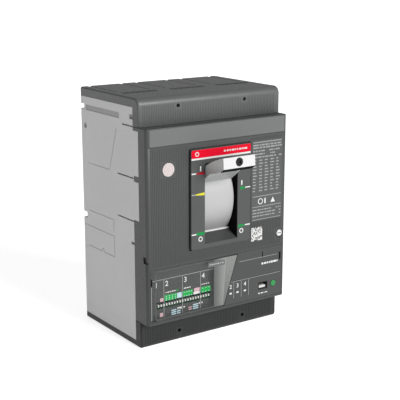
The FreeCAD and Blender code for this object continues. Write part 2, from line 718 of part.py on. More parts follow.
def flexible_braids():
    """Copper braids from the lower end of each arm to the load bar."""
    out = []
    for x in POLES:
        outline = [(-33.2, -21.3), (-38.8, -21.3), (-38.0, -27.0), (-31.0, -34.5), (-22.0, -38.0),
                   (-15.2, -38.0), (-15.2, -34.0), (-21.0, -34.0), (-28.5, -31.0), (-33.5, -25.5)]
        out.append(slab_x(outline, x - 5, x + 5))
    return out


def arc_chute_plates():
    """Splitter plates, each with a V-notch on the side of the moving arm."""
    out = []
    for x in POLES:
        for i in range(CHUTE_PLATES):
            y = -20.5 - CHUTE_PITCH * i
            corners = [(x - 17, 44.5), (x - 8.5, 44.5), (x - 5.5, 51.0), (x + 5.5, 51.0),
                       (x + 8.5, 44.5), (x + 17, 44.5), (x + 17, 60.0), (x - 17, 60.0)]
            out.append(slab_y(corners, y, y - 1.2))
    return out


def arc_chute_frames():
    """Fibre cheeks on both sides of the plates."""
    out = []
    for x in POLES:
        for side in (-1, 1):
            out.append(box(x + side * 17.0, x + side * 18.4, -17.5, -56.0, 43.0, 61.0))
    return out


def current_sensors():
    out = []
    for x in POLES:
        ring = box(x - 17, x + 17, -6.5, -27.0, -58.0, -44.0)
        window = box(x - 12.6, x + 12.6, -9.4, -15.6, -60.0, -40.0)
        out.append(ring.cut(window))
    return out


# ---- trip unit ----------------------------------------------------------
def slant_x(z):
    """X of the clear cover's slanted right edge."""
    (x0, z0), (x1, z1) = CLEAR_EDGE
    return x0 + (x1 - x0) * (z - z0) / (z1 - z0)


def clear_outline(gap):
    left = UNIT_X[0] + 1.2
    top = UNIT_Z[1] - 0.8 + gap
    low = UNIT_Z[0] + 0.8 - gap
    return [(left - gap, low), (slant_x(low) + gap, low), (slant_x(top) + gap, top), (left - gap, top)]


def trip_unit_faceplate():
    body = box(UNIT_X[0], UNIT_X[1], -96.5, -DEPTH, *UNIT_Z)
    recess = slab_y(clear_outline(0.25), -RECESS_FRONT, -DEPTH - 1)
    cuts = [recess]
    cuts.append(box(dip_left(), dip_right(), -90, -RECESS_FRONT - 1, DIP_Z[0] - 0.1, DIP_Z[1] + 0.1))
    cuts.append(port_block(0.1, -90, -DEPTH - 1))
    cuts.append(rod_y(LAMP_R + 0.15, -90, -DEPTH - 1, *LAMP))
    cuts.append(box(45.1, 46.1, -DEPTH + 1.2, -DEPTH - 1, -41.1, -36.7))
    # Dark notches at both upper ends.
    cuts.append(box(63.8, 65.6, -DEPTH + 3, -DEPTH - 1, -46.6, -39.8))
    cuts.append(box(UNIT_X[0] - 1, -66.0, -DEPTH + 3, -DEPTH - 1, -46.6, -40.4))
    for x in (15.5, 22.9, 30.5):
        cuts.append(box(x - 0.2, x + 0.2, -DEPTH + 0.3, -DEPTH - 1, -72.0, -57.6))
    cuts.append(box(6.6, 64.8, -DEPTH + 0.3, -DEPTH - 1, -57.5, -57.0))
    return body.cut(cuts)


def dip_left():
    return SLIDER_X - SLIDER_COUNT * SLIDER_PITCH / 2 - 1.0


def dip_right():
    return SLIDER_X + SLIDER_COUNT * SLIDER_PITCH / 2 + 1.0


def slider_x(index):
    return SLIDER_X + (index - (SLIDER_COUNT - 1) / 2) * SLIDER_PITCH


def dip_switch_body():
    body = box(dip_left() + 0.1, dip_right() - 0.1, -92.5, -RECESS_FRONT, *DIP_Z)
    slots = []
    half = SLIDER_HALF_W + 0.15
    for i in range(SLIDER_COUNT):
        x = slider_x(i)
        slots.append(box(x - half, x + half, -RECESS_FRONT + 2.6, -RECESS_FRONT - 1, *SLOT_Z))
    return body.cut(slots)


def dip_slider(index):
    x = slider_x(index)
    return box(x - SLIDER_HALF_W, x + SLIDER_HALF_W, -RECESS_FRONT + 2.4, -RECESS_FRONT - 1.0, *SLIDER_Z)


def settings_cover():
    plate = slab_y(clear_outline(0.0), -DEPTH + CLEAR_T, -DEPTH)
    left = UNIT_X[0] + 1.2
    axis_y = -DEPTH + CLEAR_T / 2
    # The hinge edge is a round bead about the pivot line.
    plate = plate.cut(box(left - 1, left + 1, -90, -DEPTH - 1, -90, -20))
    bead = rod_z(CLEAR_T / 2, UNIT_Z[0] + 0.8, UNIT_Z[1] - 0.8, left + 1.0, axis_y)
    lip = box(1.5, 4.5, -DEPTH, -DEPTH - 0.8, -75.5, -72.0)
    return joined([plate, bead, lip])


def port_block(margin, y0, y1):
    """A block the size of the test port's shroud, larger by margin on every side."""
    x, z = PORT
    half_x = PORT_HALF[0] + margin
    half_z = PORT_HALF[1] + margin
    return box(x - half_x, x + half_x, y0, y1, z - half_z, z + half_z)


def test_port():
    return port_block(0, -94.0, -DEPTH).cut(port_block(-PORT_WALL, -98.5, -DEPTH - 1))


def status_lamp():
    front = -DEPTH - 0.3
    lens = rod_y(LAMP_R, -94.0, front, *LAMP)
    return round_edges(lens, 0.25, lambda a, b: near(a[1], front) and near(b[1], front))


def circuit_board():
    board = box(-61, 61, -90.4, -92.0, -74.0, -37.5)
    chips = []
    for x, z, w, h in ((-30, -48, 14, 10), (2, -50, 18, 8), (30, -54, 12, 12), (46, -45, 8, 6)):
        chips.append(box(x, x + w, -88.4, -90.4, z, z + h))
    return joined([board] + chips)


def trip_unit_housing():
    low, high = UNIT_Z
    body = box(-65.2, 65.2, -63.5, -96.3, low + 1.0, high - 1.6)
    hollow = box(-63.2, 63.2, -65.5, -97.0, low + 3.0, high - 3.6)
    return body.cut(hollow)


# ---- trip button --------------------------------------------------------
def trip_button():
    x, z = BUTTON
    head = rod_y(2.75, -DEPTH - 0.4, -96.5, x, z)
    stem = rod_y(1.45, -96.6, -60.3, x, z)
    slot = box(x - 2.3, x + 2.3, -DEPTH - 1, -DEPTH + 0.4, z - 0.35, z + 0.35)
    return joined([head, stem]).cut(slot)


def trip_button_spring():
    x, z = BUTTON
    return coil(V(x, -96.1, z), V(x, -91.4, z), 2.0, 0.35, 4)


# ---- write every node ---------------------------------------------------
save("base_housing", base_housing())
save("top_terminal_cover", terminal_cover(1, TOP_STRIP, 6.0))
save("bottom_terminal_cover", terminal_cover(-1, BOTTOM_STRIP, 3.0))
save("terminal_cover_screws", terminal_cover_screws())
save("front_cover", front_cover())
save("escutcheon", escutcheon())
save("inspection_disc", inspection_disc())

save("toggle_lever", toggle_lever())
save("lever_grip_cap", lever_grip_cap())
save("lever_grip_screw", lever_grip_screw())
save("lever_drum", lever_drum())
save("lever_yoke", lever_yoke())

save("mechanism_frame", mechanism_frame())
save("cradle", cradle())
save("upper_links", upper_links())
save("lower_links", lower_links())
save("main_springs", main_springs())
save("trip_latch", trip_latch())
save("trip_bar", trip_bar())
save("trip_actuator", trip_actuator())
save("trip_plunger", trip_plunger())

save("moving_contact_arms", moving_contact_arms())
save("crossbar", crossbar())
save("bearing_blocks", bearing_blocks())
save("line_terminals", line_terminals())
save("load_terminals", load_terminals())
save("fixed_contact_tips", fixed_contact_tips())
save("flexible_braids", flexible_braids())
save("arc_chute_plates", arc_chute_plates())
save("arc_chute_frames", arc_chute_frames())
save("current_sensors", current_sensors())

save("trip_unit_faceplate", trip_unit_faceplate())
save("trip_unit_housing", trip_unit_housing())
save("circuit_board", circuit_board())
save("dip_switch_body", dip_switch_body())
for number in range(SLIDER_COUNT):
    save("setting_slider_%02d" % (number + 1), dip_slider(number))
save("settings_cover", settings_cover())
save("test_port", test_port())
save("status_lamp", status_lamp())
save("trip_button", trip_button())
save("trip_button_spring", trip_button_spring())
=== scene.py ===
import json
import math
import random

import bmesh
import bpy
from mathutils import Matrix, Vector


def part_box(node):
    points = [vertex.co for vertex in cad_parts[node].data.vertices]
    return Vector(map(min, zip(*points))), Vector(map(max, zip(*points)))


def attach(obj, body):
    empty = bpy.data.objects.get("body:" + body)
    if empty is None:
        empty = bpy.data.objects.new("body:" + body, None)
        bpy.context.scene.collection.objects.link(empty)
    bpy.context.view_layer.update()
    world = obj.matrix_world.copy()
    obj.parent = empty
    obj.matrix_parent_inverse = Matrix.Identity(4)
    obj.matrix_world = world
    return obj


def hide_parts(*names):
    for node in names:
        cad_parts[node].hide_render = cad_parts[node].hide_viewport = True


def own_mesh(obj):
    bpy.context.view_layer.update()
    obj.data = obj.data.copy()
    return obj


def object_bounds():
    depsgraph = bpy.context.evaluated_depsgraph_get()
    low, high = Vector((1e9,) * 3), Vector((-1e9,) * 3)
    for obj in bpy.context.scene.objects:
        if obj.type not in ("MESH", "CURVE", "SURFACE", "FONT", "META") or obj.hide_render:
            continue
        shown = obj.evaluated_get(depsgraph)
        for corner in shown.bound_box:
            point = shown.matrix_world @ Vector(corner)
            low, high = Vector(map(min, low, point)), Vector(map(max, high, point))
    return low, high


# A three-pole molded case circuit breaker. Lengths below are in millimetres unless a name
# ends in _M; meshes are written in metres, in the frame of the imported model.

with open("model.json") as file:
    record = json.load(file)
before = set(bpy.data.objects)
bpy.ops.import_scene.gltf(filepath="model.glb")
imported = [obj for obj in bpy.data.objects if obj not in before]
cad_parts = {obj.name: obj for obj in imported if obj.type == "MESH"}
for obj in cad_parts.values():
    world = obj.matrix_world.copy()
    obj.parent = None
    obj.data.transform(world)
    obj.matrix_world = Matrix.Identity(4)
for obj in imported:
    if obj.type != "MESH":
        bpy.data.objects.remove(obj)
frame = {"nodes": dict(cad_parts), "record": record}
cad_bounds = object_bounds()
MM = 0.001
NODES = frame["nodes"]


def node_box(name):
    """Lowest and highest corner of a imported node, in millimetres."""
    low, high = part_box(name)
    return low / MM, high / MM


COVER_LOW, COVER_HIGH = node_box("front_cover")
PLATE_LOW, PLATE_HIGH = node_box("escutcheon")
UNIT_LOW, UNIT_HIGH = node_box("trip_unit_faceplate")
CLEAR_LOW, CLEAR_HIGH = node_box("settings_cover")
DIP_LOW, DIP_HIGH = node_box("dip_switch_body")
PORT_LOW, PORT_HIGH = node_box("test_port")
TOP_LOW, TOP_HIGH = node_box("top_terminal_cover")
BOTTOM_LOW = node_box("bottom_terminal_cover")[0]
DISC_LOW, DISC_HIGH = node_box("inspection_disc")
BUTTON_LOW, BUTTON_HIGH = node_box("trip_button")

COVER_FRONT = COVER_LOW.y
PLATE_FRONT = PLATE_LOW.y
RECESS_FRONT = DIP_LOW.y

# How far printed marks are sunk into a face and how far they stand proud of it.
PRINT_SUNK = 0.08
PRINT_PROUD = 0.07


# ---- colours and materials ----------------------------------------------
def rgba(code):
    """A linear colour from a hexadecimal sRGB code."""
    parts = [int(code[i:i + 2], 16) / 255 for i in (1, 3, 5)]
    return [c / 12.92 if c <= 0.04045 else ((c + 0.055) / 1.055) ** 2.4 for c in parts] + [1.0]


# Faces that look forward get about twice the light a mid-tone needs.
FRONT_LIT = 0.5

CLOUD_SCALE = 38.0        # noise behind the cloudy tone
SPECKS_PER_GRAIN = 0.35   # scale of the uneven gloss, as a share of the grain's
GRAIN_STRENGTH = 0.6
NOISE_SPAN = (0.3, 0.7)   # where most values of a noise texture lie

# Colour sockets of a mix node: inputs A and B, and the result.
MIX_A, MIX_B, MIX_RESULT = 6, 7, 2


def scaled(colour, factor):
    return [min(1.0, c * factor) for c in colour[:3]] + [1.0]


def link(tree, source, output, target, socket):
    tree.links.new(source.outputs[output], target.inputs[socket])


def noise_node(tree, coordinates, scale, detail):
    node = tree.nodes.new("ShaderNodeTexNoise")
    node.inputs["Scale"].default_value = scale
    node.inputs["Detail"].default_value = detail
    tree.links.new(coordinates, node.inputs["Vector"])
    return node


def range_node(tree, source, low, high):
    node = tree.nodes.new("ShaderNodeMapRange")
    node.inputs["From Min"].default_value = NOISE_SPAN[0]
    node.inputs["From Max"].default_value = NOISE_SPAN[1]
    node.inputs["To Min"].default_value = low
    node.inputs["To Max"].default_value = high
    link(tree, source, "Fac", node, "Value")
    return node


def colour_mix(tree, source, output, low, high):
    """Two colours blended by the output of another node."""
    node = tree.nodes.new("ShaderNodeMix")
    node.data_type = "RGBA"
    node.inputs[MIX_A].default_value = low
    node.inputs[MIX_B].default_value = high
    link(tree, source, output, node, 0)
    return node


def smooth_ramp(tree, place, axis, span, levels):
    """A value that goes smoothly from one level to the other along an axis (mm)."""
    split = tree.nodes.new("ShaderNodeSeparateXYZ")
    link(tree, place, "Object", split, "Vector")
    node = tree.nodes.new("ShaderNodeMapRange")
    node.interpolation_type = "SMOOTHSTEP"
    node.inputs["From Min"].default_value = span[0] * MM
    node.inputs["From Max"].default_value = span[1] * MM
    node.inputs["To Min"].default_value = levels[0]
    node.inputs["To Max"].default_value = levels[1]
    link(tree, split, axis, node, "Value")
    return node


def surface(name, code, rough, grain=1500.0, relief=0.02, metallic=0.0, stretch=(1, 1, 1),
            tone=0.05, spread=0.08, painted_shade=None, lit=FRONT_LIT, shine=0.4):
    """A moulded or metal surface: cloudy tone, uneven gloss and a fine grain in relief (mm).

    painted_shade is (z_low, z_high, darkening): painted shade, where the tone falls by that
    factor from z_high to z_low.
    """
    material = bpy.data.materials.new(name)
    material.use_nodes = True
    tree = material.node_tree
    shader = tree.nodes["Principled BSDF"]
    shader.inputs["Metallic"].default_value = metallic
    place = tree.nodes.new("ShaderNodeTexCoord")
    mapping = tree.nodes.new("ShaderNodeMapping")
    mapping.inputs["Scale"].default_value = stretch
    link(tree, place, "Object", mapping, "Vector")
    where = mapping.outputs["Vector"]
    shader.inputs["Specular IOR Level"].default_value = shine
    colour = scaled(rgba(code), lit)
    clouds = noise_node(tree, where, CLOUD_SCALE, 3.0)
    mix = colour_mix(tree, clouds, "Fac", scaled(colour, 1 - tone), scaled(colour, 1 + tone))
    # Painted shade when asked for: the tone darkens downwards.
    if painted_shade:
        add_painted_shade(tree, place, mix, shader, painted_shade)
    else:
        tree.links.new(mix.outputs[MIX_RESULT], shader.inputs["Base Color"])
    specks = noise_node(tree, where, grain * SPECKS_PER_GRAIN, 2.0)
    gloss = range_node(tree, specks, max(0.02, rough - spread), rough + spread)
    link(tree, gloss, "Result", shader, "Roughness")
    fine = noise_node(tree, where, grain, 4.0)
    bump = tree.nodes.new("ShaderNodeBump")
    bump.inputs["Strength"].default_value = GRAIN_STRENGTH
    bump.inputs["Distance"].default_value = relief * MM
    link(tree, fine, "Fac", bump, "Height")
    link(tree, bump, "Normal", shader, "Normal")
    return material


def add_painted_shade(tree, place, mix, shader, painted_shade):
    """Painted shade: the tone grows darker downwards."""
    z_low, z_high, darkening = painted_shade
    ramp = smooth_ramp(tree, place, "Z", (z_low, z_high), (darkening, 1.0))
    shade = tree.nodes.new("ShaderNodeVectorMath")
    shade.operation = "SCALE"
    tree.links.new(mix.outputs[MIX_RESULT], shade.inputs[0])
    link(tree, ramp, "Result", shade, "Scale")
    link(tree, shade, "Vector", shader, "Base Color")


def clear_surface(name, code, haze):
    """Clear plastic with an even haze, from 0, clear, to 1, opaque."""
    material = surface(name, code, 0.6, grain=600.0, relief=0.0005, tone=0.02, spread=0.04,
                       shine=0.05)
    material.node_tree.nodes["Principled BSDF"].inputs["Alpha"].default_value = haze
    return material


DRIFT_SCALE = 55.0   # unevenness of the painted highlight
DRIFT = 0.04


def painted_highlight_surface(name, codes, x_range):
    """Plastic with a painted highlight: it grows paler along X (mm), a little unevenly."""
    material = surface(name, codes[0], 0.32, relief=0.001, tone=0.02, spread=0.04, shine=0.3)
    tree = material.node_tree
    place = tree.nodes.new("ShaderNodeTexCoord")
    ramp = smooth_ramp(tree, place, "X", x_range, (0.0, 1.0))
    drift = noise_node(tree, place.outputs["Object"], DRIFT_SCALE, 2.0)
    wobble = range_node(tree, drift, -DRIFT, DRIFT)
    total = tree.nodes.new("ShaderNodeMath")
    total.operation = "ADD"
    total.use_clamp = True
    link(tree, ramp, "Result", total, 0)
    link(tree, wobble, "Result", total, 1)
    dark, pale = [scaled(rgba(code), FRONT_LIT) for code in codes]
    mix = colour_mix(tree, total, "Value", dark, pale)
    shader = tree.nodes["Principled BSDF"]
    tree.links.new(mix.outputs[MIX_RESULT], shader.inputs["Base Color"])
    return material


def make_materials():
    brushed = (1, 1, 14)
    ink = {"relief": 0.008, "tone": 0.03}
    return {
        "base_plastic": surface("light_grey_moulding", "#b4b4b4", 0.55, relief=0.03, lit=1.0),
        # Painted shade: the front cover's tone grows darker downwards.
        "cover_plastic": surface("dark_grey_moulding", "#4a4c4b", 0.4, relief=0.02,
                                 painted_shade=(-80, 70, 0.72)),
        # Painted light: lighter than the front cover, and lighter still towards the top edge.
        "top_plastic": surface("top_cover_moulding", "#686a69", 0.4, relief=0.005,
                               painted_shade=(78, 101, 0.62)),
        # Painted sheen: the smooth band is lighter than the ribbed cover below it.
        "band_plastic": surface("band_moulding_painted_sheen", "#747675", 0.36, relief=0.002),
        "label_grey": surface("label_film", "#565857", 0.4, relief=0.008),
        # Matt black for painted shade: window walls, vents, seams, the trip unit's notch and
        # under the grip.
        "felt_black": surface("matt_black_painted_shade", "#0b0b0b", 0.95, grain=900, relief=0.05, tone=0.3,
                              shine=0.1),
        "bottom_plastic": surface("charcoal_moulding", "#2c2e2d", 0.45, relief=0.02, shine=0.25),
        "plate_plastic": surface("plate_moulding", "#535554", 0.38, relief=0.015, shine=0.3),
        "disc_plastic": surface("pale_disc_moulding", "#e4dbd8", 0.35, relief=0.01),
        # Painted shade: the lever grows darker downwards, towards its underside.
        "lever_plastic": surface("lever_moulding", "#c2c4c3", 0.34, relief=0.004, lit=0.95,
                                 painted_shade=(36, 53, 0.52)),
        "grip_plastic": surface("pale_grip_moulding", "#f2f2f2", 0.34, relief=0.002, tone=0.02),
        # Painted shade: the drum grows darker towards its foot.
        "drum_plastic": surface("drum_moulding", "#c6c6c6", 0.42, relief=0.001, tone=0.03,
                                spread=0.03, shine=0.5, painted_shade=(-14, 14, 0.72)),
        "steel_zinc": surface("zinc_plated_steel", "#b9bcc0", 0.34, grain=700, metallic=1.0,
                              stretch=brushed, lit=0.8),
        "steel_black": surface("blackened_steel", "#3a3b3d", 0.4, grain=900, metallic=0.9),
        "spring_steel": surface("spring_steel_wire", "#8d9094", 0.28, grain=900, metallic=1.0,
                                lit=0.8),
        "copper": surface("bare_copper", "#c07a4e", 0.3, grain=800, metallic=1.0, stretch=brushed,
                          tone=0.1, lit=0.8),
        "silver": surface("contact_silver", "#d9d7d0", 0.3, grain=900, metallic=1.0, lit=0.8),
        "crossbar_plastic": surface("phenolic_moulding", "#2e2b29", 0.45),
        "fibre": surface("vulcanised_fibre", "#8c3b2e", 0.7, grain=900, relief=0.05, tone=0.12),
        "sensor_resin": surface("cast_resin", "#1f2226", 0.35),
        "unit_plastic": surface("trip_unit_moulding", "#4a4c4b", 0.36, relief=0.015, shine=0.3),
        "board": surface("circuit_laminate", "#1d5a36", 0.4, grain=400, tone=0.12),
        "switch_black": surface("switch_body_moulding", "#023322", 0.4, relief=0.008, shine=0.2),
        "slider_white": surface("slider_moulding", "#e8e8e2", 0.4, relief=0.01),
        "clear_smoked": clear_surface("clear_polycarbonate", "#9a9c9a", 0.02),
        "port_black": surface("port_moulding", "#151515", 0.5, shine=0.2),
        "lamp_green": surface("lamp_lens", "#1f9a48", 0.18, relief=0.004),
        "button_white": surface("button_moulding", "#f3f3f1", 0.3, relief=0.01),
        # Darker grey: painted shade in the side recesses, and ink on the cover's tag.
        "recess_grey": surface("painted_shade_and_ink_grey", "#8f8f8f", 0.6, relief=0.03, lit=1.0),
        # Painted highlight: the cover's right end grows paler along X.
        "highlight_grey": painted_highlight_surface("polycarbonate_painted_highlight", ("#646665", "#989a98"), (-5.5, 7.0)),
        # Painted highlight: the flap is paler than the cover, and darker towards its foot as
        # painted shade.
        "flap_grey": surface("flap_polycarbonate", "#8c8e8c", 0.3, relief=0.001,
                             painted_shade=(-78, -34, 0.62)),
        "tag_grey": surface("frosted_tag", "#6c6e6d", 0.4, relief=0.008, shine=0.3),
        "print_white": surface("white_ink", "#f4f4f2", 0.5, **ink),
        "print_grey": surface("grey_ink", "#a5a7a6", 0.5, **ink),
        "print_red": surface("red_ink", "#f8002e", 0.5, shine=0.1, **ink),
        "print_dark_red": surface("crimson_ink", "#c80028", 0.5, shine=0.1, **ink),
        "print_yellow": surface("yellow_ink", "#e6e01c", 0.45, **ink),
        "print_green": surface("green_ink", "#129a4c", 0.5, shine=0.15, **ink),
        "print_bright_green": surface("bright_green_ink", "#1cb84e", 0.5, shine=0.15, **ink),
        "print_pale_blue": surface("pale_blue_ink", "#c9e6f0", 0.45, **ink),
        "print_pink": surface("pink_ink", "#e0b8c0", 0.45, **ink),
        # Dark grey for the painted shade in the trip button's slot.
        "print_dark": surface("dark_painted_shade", "#2b2d2c", 0.45, **ink),
    }


MATERIALS = make_materials()


# Parts whose material differs a little from the rest of their material slot: the top terminal
# cover is lighter, and lighter still towards its top edge, as painted light from above.
OWN_MATERIAL = {"top_terminal_cover": "top_plastic"}


def dress_cad_nodes():
    for part in frame["record"]["subparts"]:
        mesh = NODES[part["node"]].data
        mesh.materials.clear()
        mesh.materials.append(MATERIALS[OWN_MATERIAL.get(part["node"], part["material_slot"])])


# ---- mesh helpers -------------------------------------------------------
def new_object(name, bm, material):
    """Turn a finished bmesh in metres into an object of the scene."""
    mesh = bpy.data.meshes.new(name)
    bm.to_mesh(mesh)
    bm.free()
    mesh.materials.append(material)
    obj = bpy.data.objects.new(name, mesh)
    bpy.context.scene.collection.objects.link(obj)
    return obj


def piece(name, bm, material, body):
    """Turn a bmesh in millimetres into a piece that rides on a body."""
    bmesh.ops.recalc_face_normals(bm, faces=bm.faces)
    bmesh.ops.scale(bm, vec=(MM, MM, MM), verts=bm.verts)
    obj = new_object(name, bm, MATERIALS[material])
    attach(obj, body)
    return obj


def close_between(bm, near, far):
    """Side faces between two loops of vertices, and a cap on each."""
    count = len(near)
    for i in range(count):
        j = (i + 1) % count
        bm.faces.new((near[i], near[j], far[j], far[i]))
    bm.faces.new(near[::-1])
    bm.faces.new(far)


def prism(bm, outline, y_back, y_front):
    """A closed solid: an (x, z) outline pushed along Y."""
    back = [bm.verts.new((x, y_back, z)) for x, z in outline]
    front = [bm.verts.new((x, y_front, z)) for x, z in outline]
    close_between(bm, back, front)


def rounded(x0, x1, z0, z1, radius, steps=3):
    """Outline of a rectangle with round corners."""
    points = []
    radius = min(radius, (x1 - x0) / 2, (z1 - z0) / 2)
    corners = ((x1 - radius, z1 - radius, 0), (x0 + radius, z1 - radius, 90),
               (x0 + radius, z0 + radius, 180), (x1 - radius, z0 + radius, 270))
    for cx, cz, start in corners:
        for i in range(steps + 1):
            angle = math.radians(start + 90 * i / steps)
            points.append((cx + radius * math.cos(angle), cz + radius * math.sin(angle)))
    return points


def circle(cx, cz, radius, steps):
    turn = 2 * math.pi / steps
    return [(cx + radius * math.cos(i * turn), cz + radius * math.sin(i * turn))
            for i in range(steps)]


def print_prism(bm, outline, face_y):
    """A printed mark: sunk into the face and standing a little proud of it."""
    prism(bm, outline, face_y + PRINT_SUNK, face_y - PRINT_PROUD)


def bar(bm, x0, x1, z0, z1, face_y):
    """A printed bar with slightly round corners."""
    radius = 0.2 * min(x1 - x0, z1 - z0)
    print_prism(bm, rounded(x0, x1, z0, z1, radius, 2), face_y)


def ring(bm, cx, cz, outer, inner, face_y, steps=36):
    """A printed ring, closed all over."""
    loops = []
    for radius in (inner, outer):
        for y in (face_y + PRINT_SUNK, face_y - PRINT_PROUD):
            loops.append([bm.verts.new((x, y, z)) for x, z in circle(cx, cz, radius, steps)])
    inner_back, inner_front, outer_back, outer_front = loops
    for i in range(steps):
        j = (i + 1) % steps
        bm.faces.new((inner_front[i], inner_front[j], outer_front[j], outer_front[i]))
        bm.faces.new((outer_back[i], outer_back[j], inner_back[j], inner_back[i]))
        bm.faces.new((outer_front[i], outer_front[j], outer_back[j], outer_back[i]))
        bm.faces.new((inner_back[i], inner_back[j], inner_front[j], inner_front[i]))


FONT_SIZE = 1.4     # of a numeral's height
STROKE_GAIN = 0.06  # added to the width of its strokes


def glyph(bm, text, cx, cz, height, face_y):
    """A numeral printed on a face that looks towards -Y."""
    curve = bpy.data.curves.new("glyph", "FONT")
    curve.body = text
    curve.size = height * FONT_SIZE
    curve.align_x = "CENTER"
    curve.align_y = "CENTER"
    curve.extrude = (PRINT_SUNK + PRINT_PROUD) / 2
    curve.offset = STROKE_GAIN
    curve.resolution_u = 3
    holder = bpy.data.objects.new("glyph", curve)
    mesh = bpy.data.meshes.new_from_object(holder)
    middle = face_y + (PRINT_SUNK - PRINT_PROUD) / 2
    upright = Matrix.Rotation(math.radians(90), 4, "X")
    place = Matrix.Translation((cx, middle, cz)) @ upright
    mesh.transform(place)
    before = len(bm.verts)
    bm.from_mesh(mesh)
    bm.verts.ensure_lookup_table()
    bmesh.ops.remove_doubles(bm, verts=bm.verts[before:], dist=0.001)
    bpy.data.objects.remove(holder)
    bpy.data.meshes.remove(mesh)
    bpy.data.curves.remove(curve)


SHORTEST_WORD = 0.9
WORD_GAP = (0.5, 0.9)
ROW_END = 0.6         # no word starts this close to the end of a row


def words(bm, rng, x0, x1, z, height, face_y, longest=4.0, fill=1.0):
    """A row of short bars that stands for a line of small print."""
    x = x0
    while x < x1 - ROW_END:
        length = min(rng.uniform(SHORTEST_WORD, longest), x1 - x)
        if rng.random() < fill:
            bar(bm, x, x + length, z - height / 2, z + height / 2, face_y)
        x += length + rng.uniform(*WORD_GAP)


# ---- ribbed faces -------------------------------------------------------
RIB_PITCH = 1.6
RIB_WIDTH = 0.95
RIB_HEIGHT = 0.22
RIB_SUNK = 0.1
RIB_END_SLOPE = 0.3
SHORTEST_RIB = 2.0
RIBS_TOP_Z = 63.6

# Plain strips that the ribs leave free.
SIDE_STRIP = 4.4
UNIT_STRIP = 1.6
COVER_STRIP = 1.0
TOP_ROUND_STRIP = 5.9
BOTTOM_STRIP = 3.4
DISC_STRIP = 1.3
PLATE_STRIP = 1.8
BUTTON_STRIP = 2.5
BUTTON_FOOT_STRIP = 3.0

# Terminal cover screws, and the half sizes of the plain square round each.
SCREW_X = 32.8
SCREW_Z = 94.4
SCREW_KEEP_X = 3.2
SCREW_KEEP_Z = 3.0


def free_spans(x, z0, z1, blocks):
    """Stretches of z0...z1 at x that no (x0, x1, z0, z1) block covers."""
    spans = [(z0, z1)]
    for bx0, bx1, bz0, bz1 in blocks:
        if not bx0 < x < bx1:
            continue
        rest = []
        for low, high in spans:
            if bz1 <= low or bz0 >= high:
                rest.append((low, high))
                continue
            if bz0 > low:
                rest.append((low, bz0))
            if bz1 < high:
                rest.append((bz1, high))
        spans = rest
    return [s for s in spans if s[1] - s[0] > SHORTEST_RIB]


def rib(bm, x, z0, z1, face_y):
    """One upright rib with sloping flanks and ends."""
    half = RIB_WIDTH / 2
    profile = ((-half, RIB_SUNK), (-half * 0.5, -RIB_HEIGHT),
               (half * 0.5, -RIB_HEIGHT), (half, RIB_SUNK))
    ends = []
    for z, inward in ((z0, RIB_END_SLOPE), (z1, -RIB_END_SLOPE)):
        ring_verts = []
        for dx, dy in profile:
            lift = z + inward if dy < 0 else z
            ring_verts.append(bm.verts.new((x + dx, face_y + dy, lift)))
        ends.append(ring_verts)
    close_between(bm, *ends)


def ribbed_face(name, x0, x1, z0, z1, face_y, blocks, slot, material=None):
    bm = bmesh.new()
    count = int((x1 - x0) / RIB_PITCH)
    for i in range(count + 1):
        x = x0 + i * RIB_PITCH
        for low, high in free_spans(x, z0, z1, blocks):
            rib(bm, x, low, high, face_y)
    return piece(name, bm, material or slot, "housing")


def screw_blocks(node):
    """Keep-out squares round the terminal cover screws of one cover."""
    low, high = node_box(node)
    middle = (low.z + high.z) / 2
    z = math.copysign(SCREW_Z, middle)
    return [(side * SCREW_X - SCREW_KEEP_X, side * SCREW_X + SCREW_KEEP_X,
             z - SCREW_KEEP_Z, z + SCREW_KEEP_Z) for side in (-1, 1)]


def ribbed_faces():
    """Fine upright ribs on the front cover and both terminal covers."""
    edge = COVER_HIGH.x - SIDE_STRIP
    disc_x = (DISC_LOW.x + DISC_HIGH.x) / 2
    disc_z = (DISC_LOW.z + DISC_HIGH.z) / 2
    reach = (DISC_HIGH.x - DISC_LOW.x) / 2 + DISC_STRIP
    disc = (disc_x - reach, disc_x + reach, disc_z - reach, disc_z + reach)
    plate = (PLATE_LOW.x - PLATE_STRIP, PLATE_HIGH.x + PLATE_STRIP,
             PLATE_LOW.z - PLATE_STRIP, PLATE_HIGH.z + PLATE_STRIP)
    button = (BUTTON_LOW.x - BUTTON_STRIP, BUTTON_HIGH.x + BUTTON_STRIP,
              BUTTON_LOW.z - BUTTON_FOOT_STRIP, BUTTON_HIGH.z + BUTTON_STRIP)
    ribbed_face("front_cover_ribs", -edge, edge, UNIT_HIGH.z + UNIT_STRIP, RIBS_TOP_Z,
                COVER_FRONT, [LABEL, CODE, disc, plate, button], "cover_plastic")
    ribbed_face("top_cover_ribs", -edge, edge, COVER_HIGH.z + COVER_STRIP,
                TOP_HIGH.z - TOP_ROUND_STRIP, TOP_LOW.y,
                screw_blocks("top_terminal_cover"), "cover_plastic", "top_plastic")
    ribbed_face("bottom_cover_ribs", -edge, edge, BOTTOM_LOW.z + BOTTOM_STRIP,
                COVER_LOW.z - UNIT_STRIP, BOTTOM_LOW.y,
                screw_blocks("bottom_terminal_cover"), "bottom_plastic")


# ---- covers -------------------------------------------------------------
LABEL = (32.2, 66.0, -9.0, 61.0)
CODE = (32.2, 45.8, -26.5, -13.8)
BAND_LOW_Z = 65.9
BAND_INSET = 3.2          # from the cover's sides
BAND_TOP_GAP = 0.9
BAND_SUNK = 0.2
BAND_PROUD = 0.12


